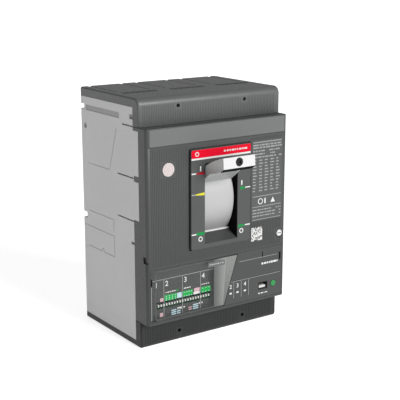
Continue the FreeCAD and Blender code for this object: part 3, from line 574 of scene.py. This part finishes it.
def front_band():
    """The smooth band across the top of the front cover, a touch proud of the cover's face. Its
    lighter tone is painted sheen and top light.
    """
    bm = bmesh.new()
    outline = rounded(COVER_LOW.x + BAND_INSET, COVER_HIGH.x - BAND_INSET,
                      BAND_LOW_Z, COVER_HIGH.z - BAND_TOP_GAP, 0.6)
    prism(bm, outline, COVER_FRONT + BAND_SUNK, COVER_FRONT - BAND_PROUD)
    piece("front_cover_band", bm, "band_plastic", "housing")


def slab_along_x(bm, outline, x0, x1):
    """A closed solid: a (y, z) outline pushed along X."""
    near = [bm.verts.new((x0, y, z)) for y, z in outline]
    far = [bm.verts.new((x1, y, z)) for y, z in outline]
    close_between(bm, near, far)


WINDOW_HALF_W = 16.5
WINDOW_Z = (-18.8, 48.2)
SILL_RISE = 6.7
SILL_BACK = -93.3
WALL_SHADE_T = 0.35
WALL_SHADE_SUNK = 0.02


def window_wall_painted_shade():
    """Painted shade: matt black on both side walls of the lever window."""
    low, high = WINDOW_Z
    front = PLATE_FRONT + 0.7
    back = SILL_BACK + 1.2
    outline = [(front, low + 0.5), (SILL_BACK, low + SILL_RISE + 0.1),
               (back, low + SILL_RISE + 0.1), (back, high - SILL_RISE - 0.1),
               (SILL_BACK, high - SILL_RISE - 0.1), (front, high - 0.5)]
    bm = bmesh.new()
    for side in (-1, 1):
        slab_along_x(bm, outline, side * (WINDOW_HALF_W + WALL_SHADE_SUNK),
                     side * (WINDOW_HALF_W - WALL_SHADE_T))
    piece("window_wall_painted_shade", bm, "felt_black", "housing")


PORT_WALL = 1.0
PORT_FOOT = 0.8
CONTACT_HEIGHT = 2.1
CONTACT_DEPTH = (4.9, 1.6)   # of the block's back and front behind the cover's face


def port_insert():
    """Pale contact block in the lower part of the test port."""
    bm = bmesh.new()
    x0, x1 = PORT_LOW.x + PORT_WALL, PORT_HIGH.x - PORT_WALL
    z0 = PORT_LOW.z + PORT_FOOT
    outline = rounded(x0, x1, z0, z0 + CONTACT_HEIGHT, 0.3)
    prism(bm, outline, COVER_FRONT + CONTACT_DEPTH[0], COVER_FRONT + CONTACT_DEPTH[1])
    piece("test_port_contacts", bm, "button_white", "housing")


POLE_PITCH = 46.5
VENT_REACH_X = 16.4
VENT_Y = (-61.0, -51.4)
SEAM_X = 15.5
SEAM_Y = (-46.9, -4.3)
SEAM_HALF_W = 0.52
VENT_SHADE_DEPTH = (3.3, 2.45)   # below the cover's end face
SEAM_SHADE_DEPTH = (0.75, 0.3)


def slab_along_z(bm, x0, x1, y0, y1, z0, z1):
    """A closed block with its corners cut, flat on the XY plane."""
    outline = rounded(x0, x1, y0, y1, 0.15, 2)
    low = [bm.verts.new((x, y, z0)) for x, y in outline]
    high = [bm.verts.new((x, y, z1)) for x, y in outline]
    close_between(bm, low, high)


def cover_shadows():
    """Painted shade: dark blocks behind the vents and dark strips in the panel seams of both
    terminal covers.
    """
    for name, edge, sign in (("top", TOP_HIGH.z, 1), ("bottom", BOTTOM_LOW.z, -1)):
        bm = bmesh.new()
        for pole in (-1, 0, 1):
            x = pole * POLE_PITCH
            z0, z1 = sorted(edge - sign * depth for depth in VENT_SHADE_DEPTH)
            slab_along_z(bm, x - VENT_REACH_X, x + VENT_REACH_X, *VENT_Y, z0, z1)
            for side in (-1, 1):
                line = x + side * SEAM_X
                z0, z1 = sorted(edge - sign * depth for depth in SEAM_SHADE_DEPTH)
                slab_along_z(bm, line - SEAM_HALF_W, line + SEAM_HALF_W, *SEAM_Y, z0, z1)
        piece(name + "_cover_vent_painted_shade", bm, "felt_black", "housing")


RECESS_OUTLINE = ((-63.2, 84.1), (-63.2, 88.5), (-8.1, 88.5), (-8.1, 84.1))   # (y, z)
RECESS_SHADE_DEPTH = (0.75, 0.35)


def side_recess_painted_shade():
    """Painted shade: a slightly darker layer in the long shallow recess of each side wall."""
    low, high = node_box("base_housing")
    bm = bmesh.new()
    for wall, inward in ((low.x, 1), (high.x, -1)):
        back, front = [wall + inward * depth for depth in RECESS_SHADE_DEPTH]
        slab_along_x(bm, RECESS_OUTLINE, back, front)
    piece("base_recess_painted_shade", bm, "recess_grey", "housing")


GRIP_FOOT = (-130.15, 46.89)      # lower edge of the grip's end face, (y, z)
UNDER_DIRECTION = (0.869, -0.494)  # along the grip's underside, away from its end face
UNDER_GRIP_SHADE_PROFILE = ((0.3, 0.6), (5.3, 0.6), (5.3, -0.5), (0.3, -0.5))   # (along, out)
UNDER_GRIP_SHADE_HALF_W = 15.2


def under_grip_painted_shade():
    """Painted shade: a dark strip under the end of the lever's grip."""
    bm = bmesh.new()
    y, z = GRIP_FOOT
    dy, dz = UNDER_DIRECTION
    outline = []
    for along, out in UNDER_GRIP_SHADE_PROFILE:
        outline.append((y + dy * along + dz * out, z + dz * along - dy * out))
    slab_along_x(bm, outline, -UNDER_GRIP_SHADE_HALF_W, UNDER_GRIP_SHADE_HALF_W)
    piece("lever_under_grip_painted_shade", bm, "felt_black", "lever")


SILL_HIGHLIGHT_OUTLINE = ((-94.7, -12.75), (-93.4, -12.1), (-93.6, -11.45), (-94.6, -11.9))   # (y, z)
SILL_HIGHLIGHT_HALF_W = 16.0


def sill_painted_highlight():
    """Painted highlight: a pale strip along the inner end of the lower sill."""
    bm = bmesh.new()
    slab_along_x(bm, SILL_HIGHLIGHT_OUTLINE, -SILL_HIGHLIGHT_HALF_W, SILL_HIGHLIGHT_HALF_W)
    piece("window_sill_painted_highlight", bm, "grip_plastic", "housing")


SLOT_SHADE_HALF_W = 1.9
SLOT_SHADE_HALF_H = 0.36
SLOT_SHADE_DEPTH = (1.0, 0.25)


def button_slot_painted_shade():
    """Painted shade: a dark strip in the slot of the trip button."""
    x = (BUTTON_LOW.x + BUTTON_HIGH.x) / 2
    z = (BUTTON_LOW.z + BUTTON_HIGH.z) / 2
    bm = bmesh.new()
    outline = rounded(x - SLOT_SHADE_HALF_W, x + SLOT_SHADE_HALF_W, z - SLOT_SHADE_HALF_H, z + SLOT_SHADE_HALF_H, 0.2)
    prism(bm, outline, BUTTON_LOW.y + SLOT_SHADE_DEPTH[0], BUTTON_LOW.y + SLOT_SHADE_DEPTH[1])
    piece("trip_button_slot_painted_shade", bm, "print_dark", "push_to_trip_button")


SOFT_EDGES = {
    "front_cover": 0.35, "top_terminal_cover": 0.35, "bottom_terminal_cover": 0.35,
    "base_housing": 0.3, "escutcheon": 0.25, "toggle_lever": 0.9, "lever_grip_cap": 0.7,
    "trip_unit_faceplate": 0.15, "test_port": 0.12, "settings_cover": 0.2,
}
WELD_DISTANCE = 0.001
BEVEL_SEGMENTS = 2
SHARP_EDGE_DEG = 40


def soften_edges():
    """Moulded parts have fine radii on their edges."""
    for name, width in SOFT_EDGES.items():
        obj = NODES[name]
        weld = obj.modifiers.new("weld", "WELD")
        weld.merge_threshold = WELD_DISTANCE * MM
        bevel = obj.modifiers.new("edge_radius", "BEVEL")
        bevel.width = width * MM
        bevel.segments = BEVEL_SEGMENTS
        bevel.limit_method = "ANGLE"
        bevel.angle_limit = math.radians(SHARP_EDGE_DEG)


# ---- escutcheon prints --------------------------------------------------
def wedge(bm, x_thin, x_thick, z, face_y, thin=0.9, thick=2.4):
    """A printed mark that widens from x_thin to x_thick."""
    outline = [(x_thin, z - thin / 2), (x_thick, z - thick / 2),
               (x_thick, z + thick / 2), (x_thin, z + thin / 2)]
    print_prism(bm, outline, face_y)


def plate_prints():
    """The red strip and the position marks round the lever window."""
    low, high = PLATE_LOW, PLATE_HIGH
    left = low.x + 0.3
    right = high.x - 0.3
    bm = bmesh.new()
    print_prism(bm, rounded(left, right, 53.2, high.z - 0.5, 1.0), PLATE_FRONT)
    piece("plate_red_band", bm, "print_red", "housing")

    bm = bmesh.new()
    bar(bm, left, right, 51.7, 53.1, PLATE_FRONT)
    ring(bm, -24.2, 56.4, 1.9, 1.2, PLATE_FRONT - PRINT_PROUD)
    rng = random.Random(11)
    words(bm, rng, 2.0, 26.0, 56.4, 1.4, PLATE_FRONT - PRINT_PROUD, longest=3.4)
    for z in (40.7, -9.5):
        bar(bm, left, -24.9, z - 0.5, z + 0.5, PLATE_FRONT)
    for z in (23.3, -8.8):
        bar(bm, 24.2, right, z - 0.5, z + 0.5, PLATE_FRONT)
    bar(bm, -21.4, -20.2, 42.3, 46.3, PLATE_FRONT)
    ring(bm, -20.8, -13.9, 2.1, 1.3, PLATE_FRONT)
    ring(bm, 20.6, -13.2, 2.1, 1.3, PLATE_FRONT)
    bar(bm, 20.0, 21.2, 25.8, 29.8, PLATE_FRONT)
    piece("plate_white_marks", bm, "print_white", "housing")

    bm = bmesh.new()
    bar(bm, left, -25.6, 23.0, 24.0, PLATE_FRONT)
    piece("plate_grey_mark", bm, "print_grey", "housing")

    bm = bmesh.new()
    wedge(bm, -25.2, -16.9, 40.5, PLATE_FRONT)
    piece("plate_on_wedge", bm, "print_dark_red", "housing")

    bm = bmesh.new()
    wedge(bm, -25.8, -16.9, 23.4, PLATE_FRONT)
    piece("plate_trip_wedge", bm, "print_yellow", "housing")

    bm = bmesh.new()
    wedge(bm, -24.8, -16.9, -9.4, PLATE_FRONT, 2.2, 2.6)
    wedge(bm, 24.0, 17.2, -8.9, PLATE_FRONT, 1.4, 2.6)
    wedge(bm, 24.4, 19.2, 23.2, PLATE_FRONT, 1.4, 2.6)
    piece("plate_off_wedges", bm, "print_green", "housing")


# ---- rating label and code square ---------------------------------------
LABEL_COLUMNS = (34.0, 40.6, 46.4, 52.4, 58.6)
LABEL_ROWS_Z = (43.6, 16.0)      # first row of the table, and where it ends
LABEL_ROW_PITCH = 2.6


def rating_label():
    """A plain label: rows of bars and three symbols, with nothing to read."""
    rng = random.Random(23)
    face = COVER_FRONT - PRINT_PROUD
    x0, x1 = 34.0, 64.4
    bm = bmesh.new()
    print_prism(bm, rounded(x0 - 0.9, x1 + 0.9, -8.2, 60.2, 0.8), COVER_FRONT)
    piece("rating_label_base", bm, "label_grey", "housing")
    bm = bmesh.new()
    bar(bm, x0, x1, 58.6, 59.4, face)
    for z in (56.6, 54.4):
        words(bm, rng, x0, x1, z, 1.3, face, longest=6.0)
    for z in (51.6, 49.0, 46.4):
        words(bm, rng, x0, x1, z, 1.1, face, longest=5.0, fill=0.85)
    row, last_row = LABEL_ROWS_Z
    while row > last_row:
        for column in LABEL_COLUMNS:
            width = rng.uniform(2.2, 4.4)
            bar(bm, column, min(column + width, x1), row - 0.5, row + 0.5, face)
        row -= LABEL_ROW_PITCH
    bar(bm, x0, x1, 12.5, 13.1, face)
    bar(bm, x0, x1, 3.5, 4.1, face)
    for z in (1.0, -1.6, -4.2):
        words(bm, rng, x0, x1, z, 1.0, face, longest=5.0, fill=0.85)
    bar(bm, x0, x1, -7.6, -7.1, face)
    piece("rating_label_rows", bm, "print_grey", "housing")

    bm = bmesh.new()
    ring(bm, 42.4, 8.3, 2.6, 1.9, face)
    bar(bm, 46.6, 48.0, 6.0, 10.6, face)
    print_prism(bm, [(53.2, 6.2), (58.0, 6.2), (55.6, 10.6)], face)
    piece("rating_label_symbols", bm, "print_white", "housing")


CODE_CORNER = (33.2, -25.6)
CODE_CELLS = 12
CODE_CELL = 0.97
CODE_FILLED = 0.62        # share of the cells that are printed


def code_square():
    """A chequer of random cells that encodes nothing."""
    rng = random.Random(7)
    bm = bmesh.new()
    side = CODE_CELL * 0.98
    for column in range(CODE_CELLS):
        for row in range(CODE_CELLS):
            if rng.random() < CODE_FILLED:
                x = CODE_CORNER[0] + column * CODE_CELL
                z = CODE_CORNER[1] + row * CODE_CELL
                bar(bm, x, x + side, z, z + side, COVER_FRONT)
    piece("code_square", bm, "print_white", "housing")


DISC_RINGS = ((4.2, 3.9), (1.3, 1.0))    # outer and inner radius
SPOKES = 6
SPOKE_OUTLINE = ((1.9, -0.15), (3.4, -0.15), (3.4, 0.15), (1.9, 0.15))   # (along, across)


def disc_pattern():
    """Two faint rings and six spokes on the inspection disc."""
    face = DISC_LOW.y
    cx = (DISC_LOW.x + DISC_HIGH.x) / 2
    cz = (DISC_LOW.z + DISC_HIGH.z) / 2
    bm = bmesh.new()
    for outer, inner in DISC_RINGS:
        ring(bm, cx, cz, outer, inner, face)
    for i in range(SPOKES):
        angle = math.radians(60 * i + 15)
        c, s = math.cos(angle), math.sin(angle)
        outline = []
        for along, across in SPOKE_OUTLINE:
            outline.append((cx + along * c - across * s, cz + along * s + across * c))
        print_prism(bm, outline, face)
    piece("inspection_disc_print", bm, "print_pink", "housing")


# ---- trip unit prints ---------------------------------------------------
COLUMNS = (-52.4, -34.3, -16.3)      # dividers of the settings field
FIELD_TOP = -44.0
FIELD_LOW = -76.2
FIELD_FOOT = DIP_HIGH.z + 0.2        # coloured fields end just above the switch bank
NUMERAL_Z = -48.2
NOTE_PITCH = 1.7                     # between the short rows under the switches
# Coloured fields: x0, x1, and the columns and rows of ticks on each.
GREEN_FIELDS = ((-51.7, -39.9, 4, 3), (-34.0, -24.2, 4, 2), (-15.8, -6.2, 3, 2))


def settings_field():
    """Prints on the recessed face, under the clear cover."""
    face = RECESS_FRONT
    rng = random.Random(31)
    bm = bmesh.new()
    bar(bm, -63.4, 4.0, FIELD_TOP - 0.25, FIELD_TOP + 0.25, face)
    for x in COLUMNS:
        bar(bm, x - 0.22, x + 0.22, FIELD_LOW, FIELD_TOP, face)
    piece("settings_field_lines", bm, "print_grey", "housing")

    bm = bmesh.new()
    for text, x in (("1", -59.6), ("2", -49.6), ("3", -31.4), ("4", -13.6)):
        glyph(bm, text, x, NUMERAL_Z, 4.4, face)
    words(bm, rng, -50.6, -41.0, -55.6, 0.8, face, longest=2.2)
    words(bm, rng, -33.0, -25.0, -55.4, 0.8, face, longest=2.2)
    words(bm, rng, -15.4, -7.6, -55.4, 0.8, face, longest=2.2)
    bar(bm, -23.4, -17.2, FIELD_FOOT, -60.4, face)
    bar(bm, -39.6, -35.2, -72.4, -70.6, face)
    bar(bm, -33.4, -32.0, -72.0, -70.8, face)
    bar(bm, -17.9, -16.9, -71.8, -70.6, face)
    bar(bm, -15.4, -14.3, -71.8, -70.6, face)
    piece("settings_field_white", bm, "print_white", "housing")

    bm = bmesh.new()
    for x0, x1, *_ in GREEN_FIELDS:
        print_prism(bm, rounded(x0, x1, FIELD_FOOT, -57.8, 0.3), face)
    bar(bm, -40.2, -38.4, -56.2, -55.0, face)
    piece("settings_field_green", bm, "print_bright_green", "housing")

    bm = bmesh.new()
    for x0, x1, columns, rows in GREEN_FIELDS:
        for i in range(columns):
            for j in range(rows):
                x = x0 + (i + 0.35) * (x1 - x0) / columns
                z = -58.9 - j * 3.2 / max(1, rows - 1)
                bar(bm, x, x + 1.1, z - 0.32, z + 0.32, face - PRINT_PROUD)
    piece("settings_field_ticks", bm, "print_pale_blue", "housing")

    bm = bmesh.new()
    print_prism(bm, rounded(-39.6, -35.2, FIELD_FOOT, -58.0, 0.3), face)
    for row in range(3):
        up = row * NOTE_PITCH
        bar(bm, -45.2, -40.6, -76.0 + up, -75.0 + up, face)
        bar(bm, -39.8, -36.4, -76.0 + up, -75.0 + up, face)
        bar(bm, -24.0, -18.6, -75.4 + up, -74.4 + up, face)
    piece("settings_field_blue", bm, "print_pale_blue", "housing")

    bm = bmesh.new()
    print_prism(bm, rounded(-22.8, -17.2, -60.2, -57.4, 0.3), face)
    print_prism(bm, rounded(-56.0, -53.0, FIELD_FOOT, -59.6, 0.3), face)
    print_prism(bm, rounded(-56.4, -53.4, -75.6, -72.2, 0.3), face)
    for row in range(2):
        up = row * NOTE_PITCH
        bar(bm, -28.4, -25.2, -75.2 + up, -74.2 + up, face)
    piece("settings_field_pink", bm, "print_pink", "housing")


def unit_prints():
    """Prints on the face of the trip unit, beside the clear cover."""
    face = COVER_FRONT
    bm = bmesh.new()
    bar(bm, 20.6, 61.6, -41.5, -41.1, face)
    bar(bm, UNIT_LOW.x + 0.2, UNIT_LOW.x + 0.7, -75.4, -47.4, face)
    bar(bm, 12.4, 64.8, -58.0, -57.6, face)
    for x in (15.2, 23.0, 30.8):
        bar(bm, x - 0.22, x + 0.22, -72.6, -57.8, face)
    piece("unit_lines", bm, "print_grey", "housing")

    bm = bmesh.new()
    for text, x in (("2", 11.9), ("3", 19.1), ("4", 27.0)):
        glyph(bm, text, x, -62.0, 3.6, face)
        bar(bm, x - 1.2, x + 1.2, -68.5, -67.1, face)
    rng = random.Random(5)
    words(bm, rng, 41.4, 51.6, -73.6, 0.9, face, longest=2.6)
    words(bm, rng, 44.6, 62.4, -47.2, 1.7, face, longest=3.4)
    piece("unit_white_marks", bm, "print_white", "housing")


CLEAR_EDGE = ((18.9, -34.0), (5.0, -77.5))   # the clear cover's slanted right edge, (x, z)
FOLD_X = (6.6, 3.4)                          # where the flap's fold meets its top and foot
HIGHLIGHT_LEFT = -5.5
HIGHLIGHT_SUNK = 0.5             # how deep the painted-highlight layers go into the cover
HIGHLIGHT_PROUD = 0.03
LAYER_END_GAP = 0.5         # above and below the layers
FLAP_GAP = 0.3              # between the fold and the flap
FLAP_INSET = 0.4            # from the slanted edge
FOLD_WIDTH = 0.35
FOLD_PROUD = 0.04           # over the layers beside it
RIM_WIDTH = 0.8
RIM_FROM_HINGE_EDGE = 3.0   # clear of the faceplate when the cover is open
TAG = (-11.5, 5.6, -40.8, -36.4)     # x0, x1, z0, z1
TAG_ROW = (-10.0, 4.4, -38.6)        # x0, x1, z


def edge_x(z, inset):
    """X of a point at height z, inset from the clear cover's slanted edge."""
    (x0, z0), (x1, z1) = CLEAR_EDGE
    return x0 + (x1 - x0) * (z - z0) / (z1 - z0) - inset


def cover_piece(name, bm, material):
    """A thin layer on the clear cover, set to cast no shadow on the field below."""
    layer = piece(name, bm, material, "clear_settings_cover")
    layer.visible_shadow = False


def cover_highlight_layers():
    """The clear cover's right end and slanted flap, paler as painted highlight, with a fold line,
    rim and tag.
    """
    back = COVER_FRONT + HIGHLIGHT_SUNK
    front = COVER_FRONT - HIGHLIGHT_PROUD
    low = CLEAR_LOW.z + LAYER_END_GAP
    high = CLEAR_HIGH.z - LAYER_END_GAP
    top_x, foot_x = FOLD_X
    bm = bmesh.new()
    haze = [(HIGHLIGHT_LEFT, low), (foot_x, low), (top_x, high), (HIGHLIGHT_LEFT, high)]
    prism(bm, haze, back, front)
    cover_piece("settings_cover_painted_highlight", bm, "highlight_grey")

    bm = bmesh.new()
    flap = [(foot_x + FLAP_GAP, low), (edge_x(low, FLAP_INSET), low),
            (edge_x(high, FLAP_INSET), high), (top_x + FLAP_GAP, high)]
    prism(bm, flap, back, front)
    cover_piece("settings_cover_flap", bm, "flap_grey")

    bm = bmesh.new()
    fold = [(foot_x, low), (foot_x + FOLD_WIDTH, low), (top_x + FOLD_WIDTH, high), (top_x, high)]
    prism(bm, fold, back, front - FOLD_PROUD)
    cover_piece("settings_cover_fold", bm, "print_grey")

    bm = bmesh.new()
    left = CLEAR_LOW.x + RIM_FROM_HINGE_EDGE
    bar(bm, left, left + RIM_WIDTH, low, high, COVER_FRONT)
    bar(bm, left, HIGHLIGHT_LEFT, low, low + RIM_WIDTH, COVER_FRONT)
    bar(bm, left, HIGHLIGHT_LEFT, high - RIM_WIDTH, high, COVER_FRONT)
    cover_piece("settings_cover_rim", bm, "label_grey")

    bm = bmesh.new()
    print_prism(bm, rounded(*TAG, 0.5), COVER_FRONT)
    cover_piece("settings_cover_tag", bm, "tag_grey")

    rng = random.Random(3)
    bm = bmesh.new()
    words(bm, rng, *TAG_ROW, 0.9, COVER_FRONT - PRINT_PROUD, longest=2.4)
    cover_piece("settings_cover_tag_rows", bm, "recess_grey")


SPRING_TURNS = 4
SPRING_WIRE_RADIUS = 0.35
SPRING_STEPS = 20        # points in one turn
SPRING_WIRE_SIDES = 8


def button_spring():
    """Return spring behind the trip button, built at one fixed length."""
    low, high = node_box("trip_button_spring")
    wire = SPRING_WIRE_RADIUS
    centre_x = (low.x + high.x) / 2
    centre_z = (low.z + high.z) / 2
    mean = (high.x - low.x) / 2 - wire
    start = low.y + wire
    run = high.y - low.y - 2 * wire
    count = SPRING_TURNS * SPRING_STEPS
    bm = bmesh.new()
    loops = []
    for i in range(count + 1):
        turn = 2 * math.pi * i / SPRING_STEPS
        along = start + run * i / count
        loop = []
        for j in range(SPRING_WIRE_SIDES):
            a = 2 * math.pi * j / SPRING_WIRE_SIDES
            reach = mean + wire * math.cos(a)
            x = centre_x + reach * math.cos(turn)
            z = centre_z + reach * math.sin(turn)
            loop.append(bm.verts.new((x, along + wire * math.sin(a), z)))
        loops.append(loop)
    for loop, following in zip(loops, loops[1:]):
        for j in range(SPRING_WIRE_SIDES):
            k = (j + 1) % SPRING_WIRE_SIDES
            bm.faces.new((loop[j], loop[k], following[k], following[j]))
    bm.faces.new(loops[0])
    bm.faces.new(loops[-1])
    spring = piece("trip_button_return_spring", bm, "spring_steel", "housing")
    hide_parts("trip_button_spring")
    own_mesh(spring)


NOTCH_SHADE_X = (0.1, 1.25)        # from the trip unit's left edge
NOTCH_SHADE_Z = (-46.5, -40.5)
NOTCH_SHADE_SUNK = 1.4
NOTCH_SHADE_PROUD = 0.02


def notch_painted_shade():
    """Painted shade: a dark pad in the left notch of the trip unit's face."""
    bm = bmesh.new()
    outline = rounded(UNIT_LOW.x + NOTCH_SHADE_X[0], UNIT_LOW.x + NOTCH_SHADE_X[1], *NOTCH_SHADE_Z, 0.2)
    prism(bm, outline, COVER_FRONT + NOTCH_SHADE_SUNK, COVER_FRONT - NOTCH_SHADE_PROUD)
    piece("unit_notch_painted_shade", bm, "felt_black", "housing")


# ---- scene --------------------------------------------------------------
FLOOR_HALF_M = 30.0
BACKDROP_RADIUS_M = 10.0
BACKDROP_SEGMENTS = 48
BACKDROP_FOOT_M = 1.0        # how far it reaches below the floor
FLOOR_GLOW = 0.75
BACKDROP_GLOW = 1.0


def studio_paint(name, glow):
    """Pale matt paint that gives a little light of its own."""
    paint = surface(name, "#cbcbcb", 0.8, grain=60, relief=0.0, tone=0.01, lit=1.0)
    shader = paint.node_tree.nodes["Principled BSDF"]
    shader.inputs["Emission Color"].default_value = (1, 1, 1, 1)
    shader.inputs["Emission Strength"].default_value = glow
    return paint


def floor():
    """A wide floor under the part."""
    bm = bmesh.new()
    half = FLOOR_HALF_M / MM
    z = cad_bounds[0].z / MM
    corners = ((-half, -half), (half, -half), (half, half), (-half, half))
    bm.faces.new([bm.verts.new((x, y, z)) for x, y in corners])
    bmesh.ops.scale(bm, vec=(MM, MM, MM), verts=bm.verts)
    obj = new_object("floor", bm, studio_paint("floor_paint", FLOOR_GLOW))


def backdrop():
    """A pale studio wall all round. Only the camera sees it, so it gives no light."""
    bm = bmesh.new()
    floor_z = cad_bounds[0].z
    posts = []
    for i in range(BACKDROP_SEGMENTS):
        a = 2 * math.pi * i / BACKDROP_SEGMENTS
        x = BACKDROP_RADIUS_M * math.cos(a)
        y = BACKDROP_RADIUS_M * math.sin(a)
        foot = bm.verts.new((x, y, floor_z - BACKDROP_FOOT_M))
        posts.append((foot, bm.verts.new((x, y, floor_z + BACKDROP_RADIUS_M))))
    for (low_a, high_a), (low_b, high_b) in zip(posts, posts[1:] + posts[:1]):
        bm.faces.new((low_a, low_b, high_b, high_a))
    obj = new_object("backdrop", bm, studio_paint("backdrop_paint", BACKDROP_GLOW))
    obj.visible_diffuse = False
    obj.visible_glossy = False
    obj.visible_transmission = False
    obj.visible_shadow = False


def away_from_part(azimuth, elevation):
    """Unit vector from the part, by angles in degrees. Azimuth 0 is the front, 90 the right."""
    a = math.radians(azimuth)
    e = math.radians(elevation)
    return Vector((math.sin(a) * math.cos(e), -math.cos(a) * math.cos(e), math.sin(e)))


def soft_sun(name, strength, spread_deg, azimuth, elevation):
    """A far, broad softbox."""
    data = bpy.data.lights.new(name, "SUN")
    data.energy = strength
    data.angle = math.radians(spread_deg)
    obj = bpy.data.objects.new(name, data)
    away = away_from_part(azimuth, elevation)
    obj.location = away * 2.0
    obj.rotation_euler = away.to_track_quat("Z", "Y").to_euler()
    bpy.context.scene.collection.objects.link(obj)


WORLD_STRENGTH = 0.35


def lights():
    """One broad key light from the front and an even fill from all round."""
    world = bpy.data.worlds.new("studio")
    world.use_nodes = True
    background = world.node_tree.nodes["Background"]
    background.inputs["Color"].default_value = (1, 1, 1, 1)
    background.inputs["Strength"].default_value = WORLD_STRENGTH
    bpy.context.scene.world = world
    soft_sun("key", strength=4.3, spread_deg=24.0, azimuth=15.0, elevation=24.0)


CAMERA_TARGET = (-14.6, -96.3, 15.9)
CAMERA_DISTANCE = 800.0
CAMERA_AZIMUTH = -34.84
CAMERA_ELEVATION = 13.78
CAMERA_LENS = 88.335
SENSOR_WIDTH = 36.0


def camera():
    """The photo's viewpoint, solved on the corners of the case."""
    data = bpy.data.cameras.new("camera")
    data.lens = CAMERA_LENS
    data.sensor_width = SENSOR_WIDTH
    obj = bpy.data.objects.new("camera", data)
    away = away_from_part(CAMERA_AZIMUTH, CAMERA_ELEVATION)
    obj.location = (Vector(CAMERA_TARGET) + away * CAMERA_DISTANCE) * MM
    obj.rotation_euler = away.to_track_quat("Z", "Y").to_euler()
    bpy.context.scene.collection.objects.link(obj)
    bpy.context.scene.camera = obj


dress_cad_nodes()
soften_edges()
ribbed_faces()
front_band()
window_wall_painted_shade()
port_insert()
cover_shadows()
side_recess_painted_shade()
under_grip_painted_shade()
sill_painted_highlight()
button_slot_painted_shade()
plate_prints()
rating_label()
code_square()
disc_pattern()
settings_field()
unit_prints()
cover_highlight_layers()
notch_painted_shade()
button_spring()
floor()
backdrop()
lights()
camera()
bpy.context.scene.view_settings.view_transform = "Standard"
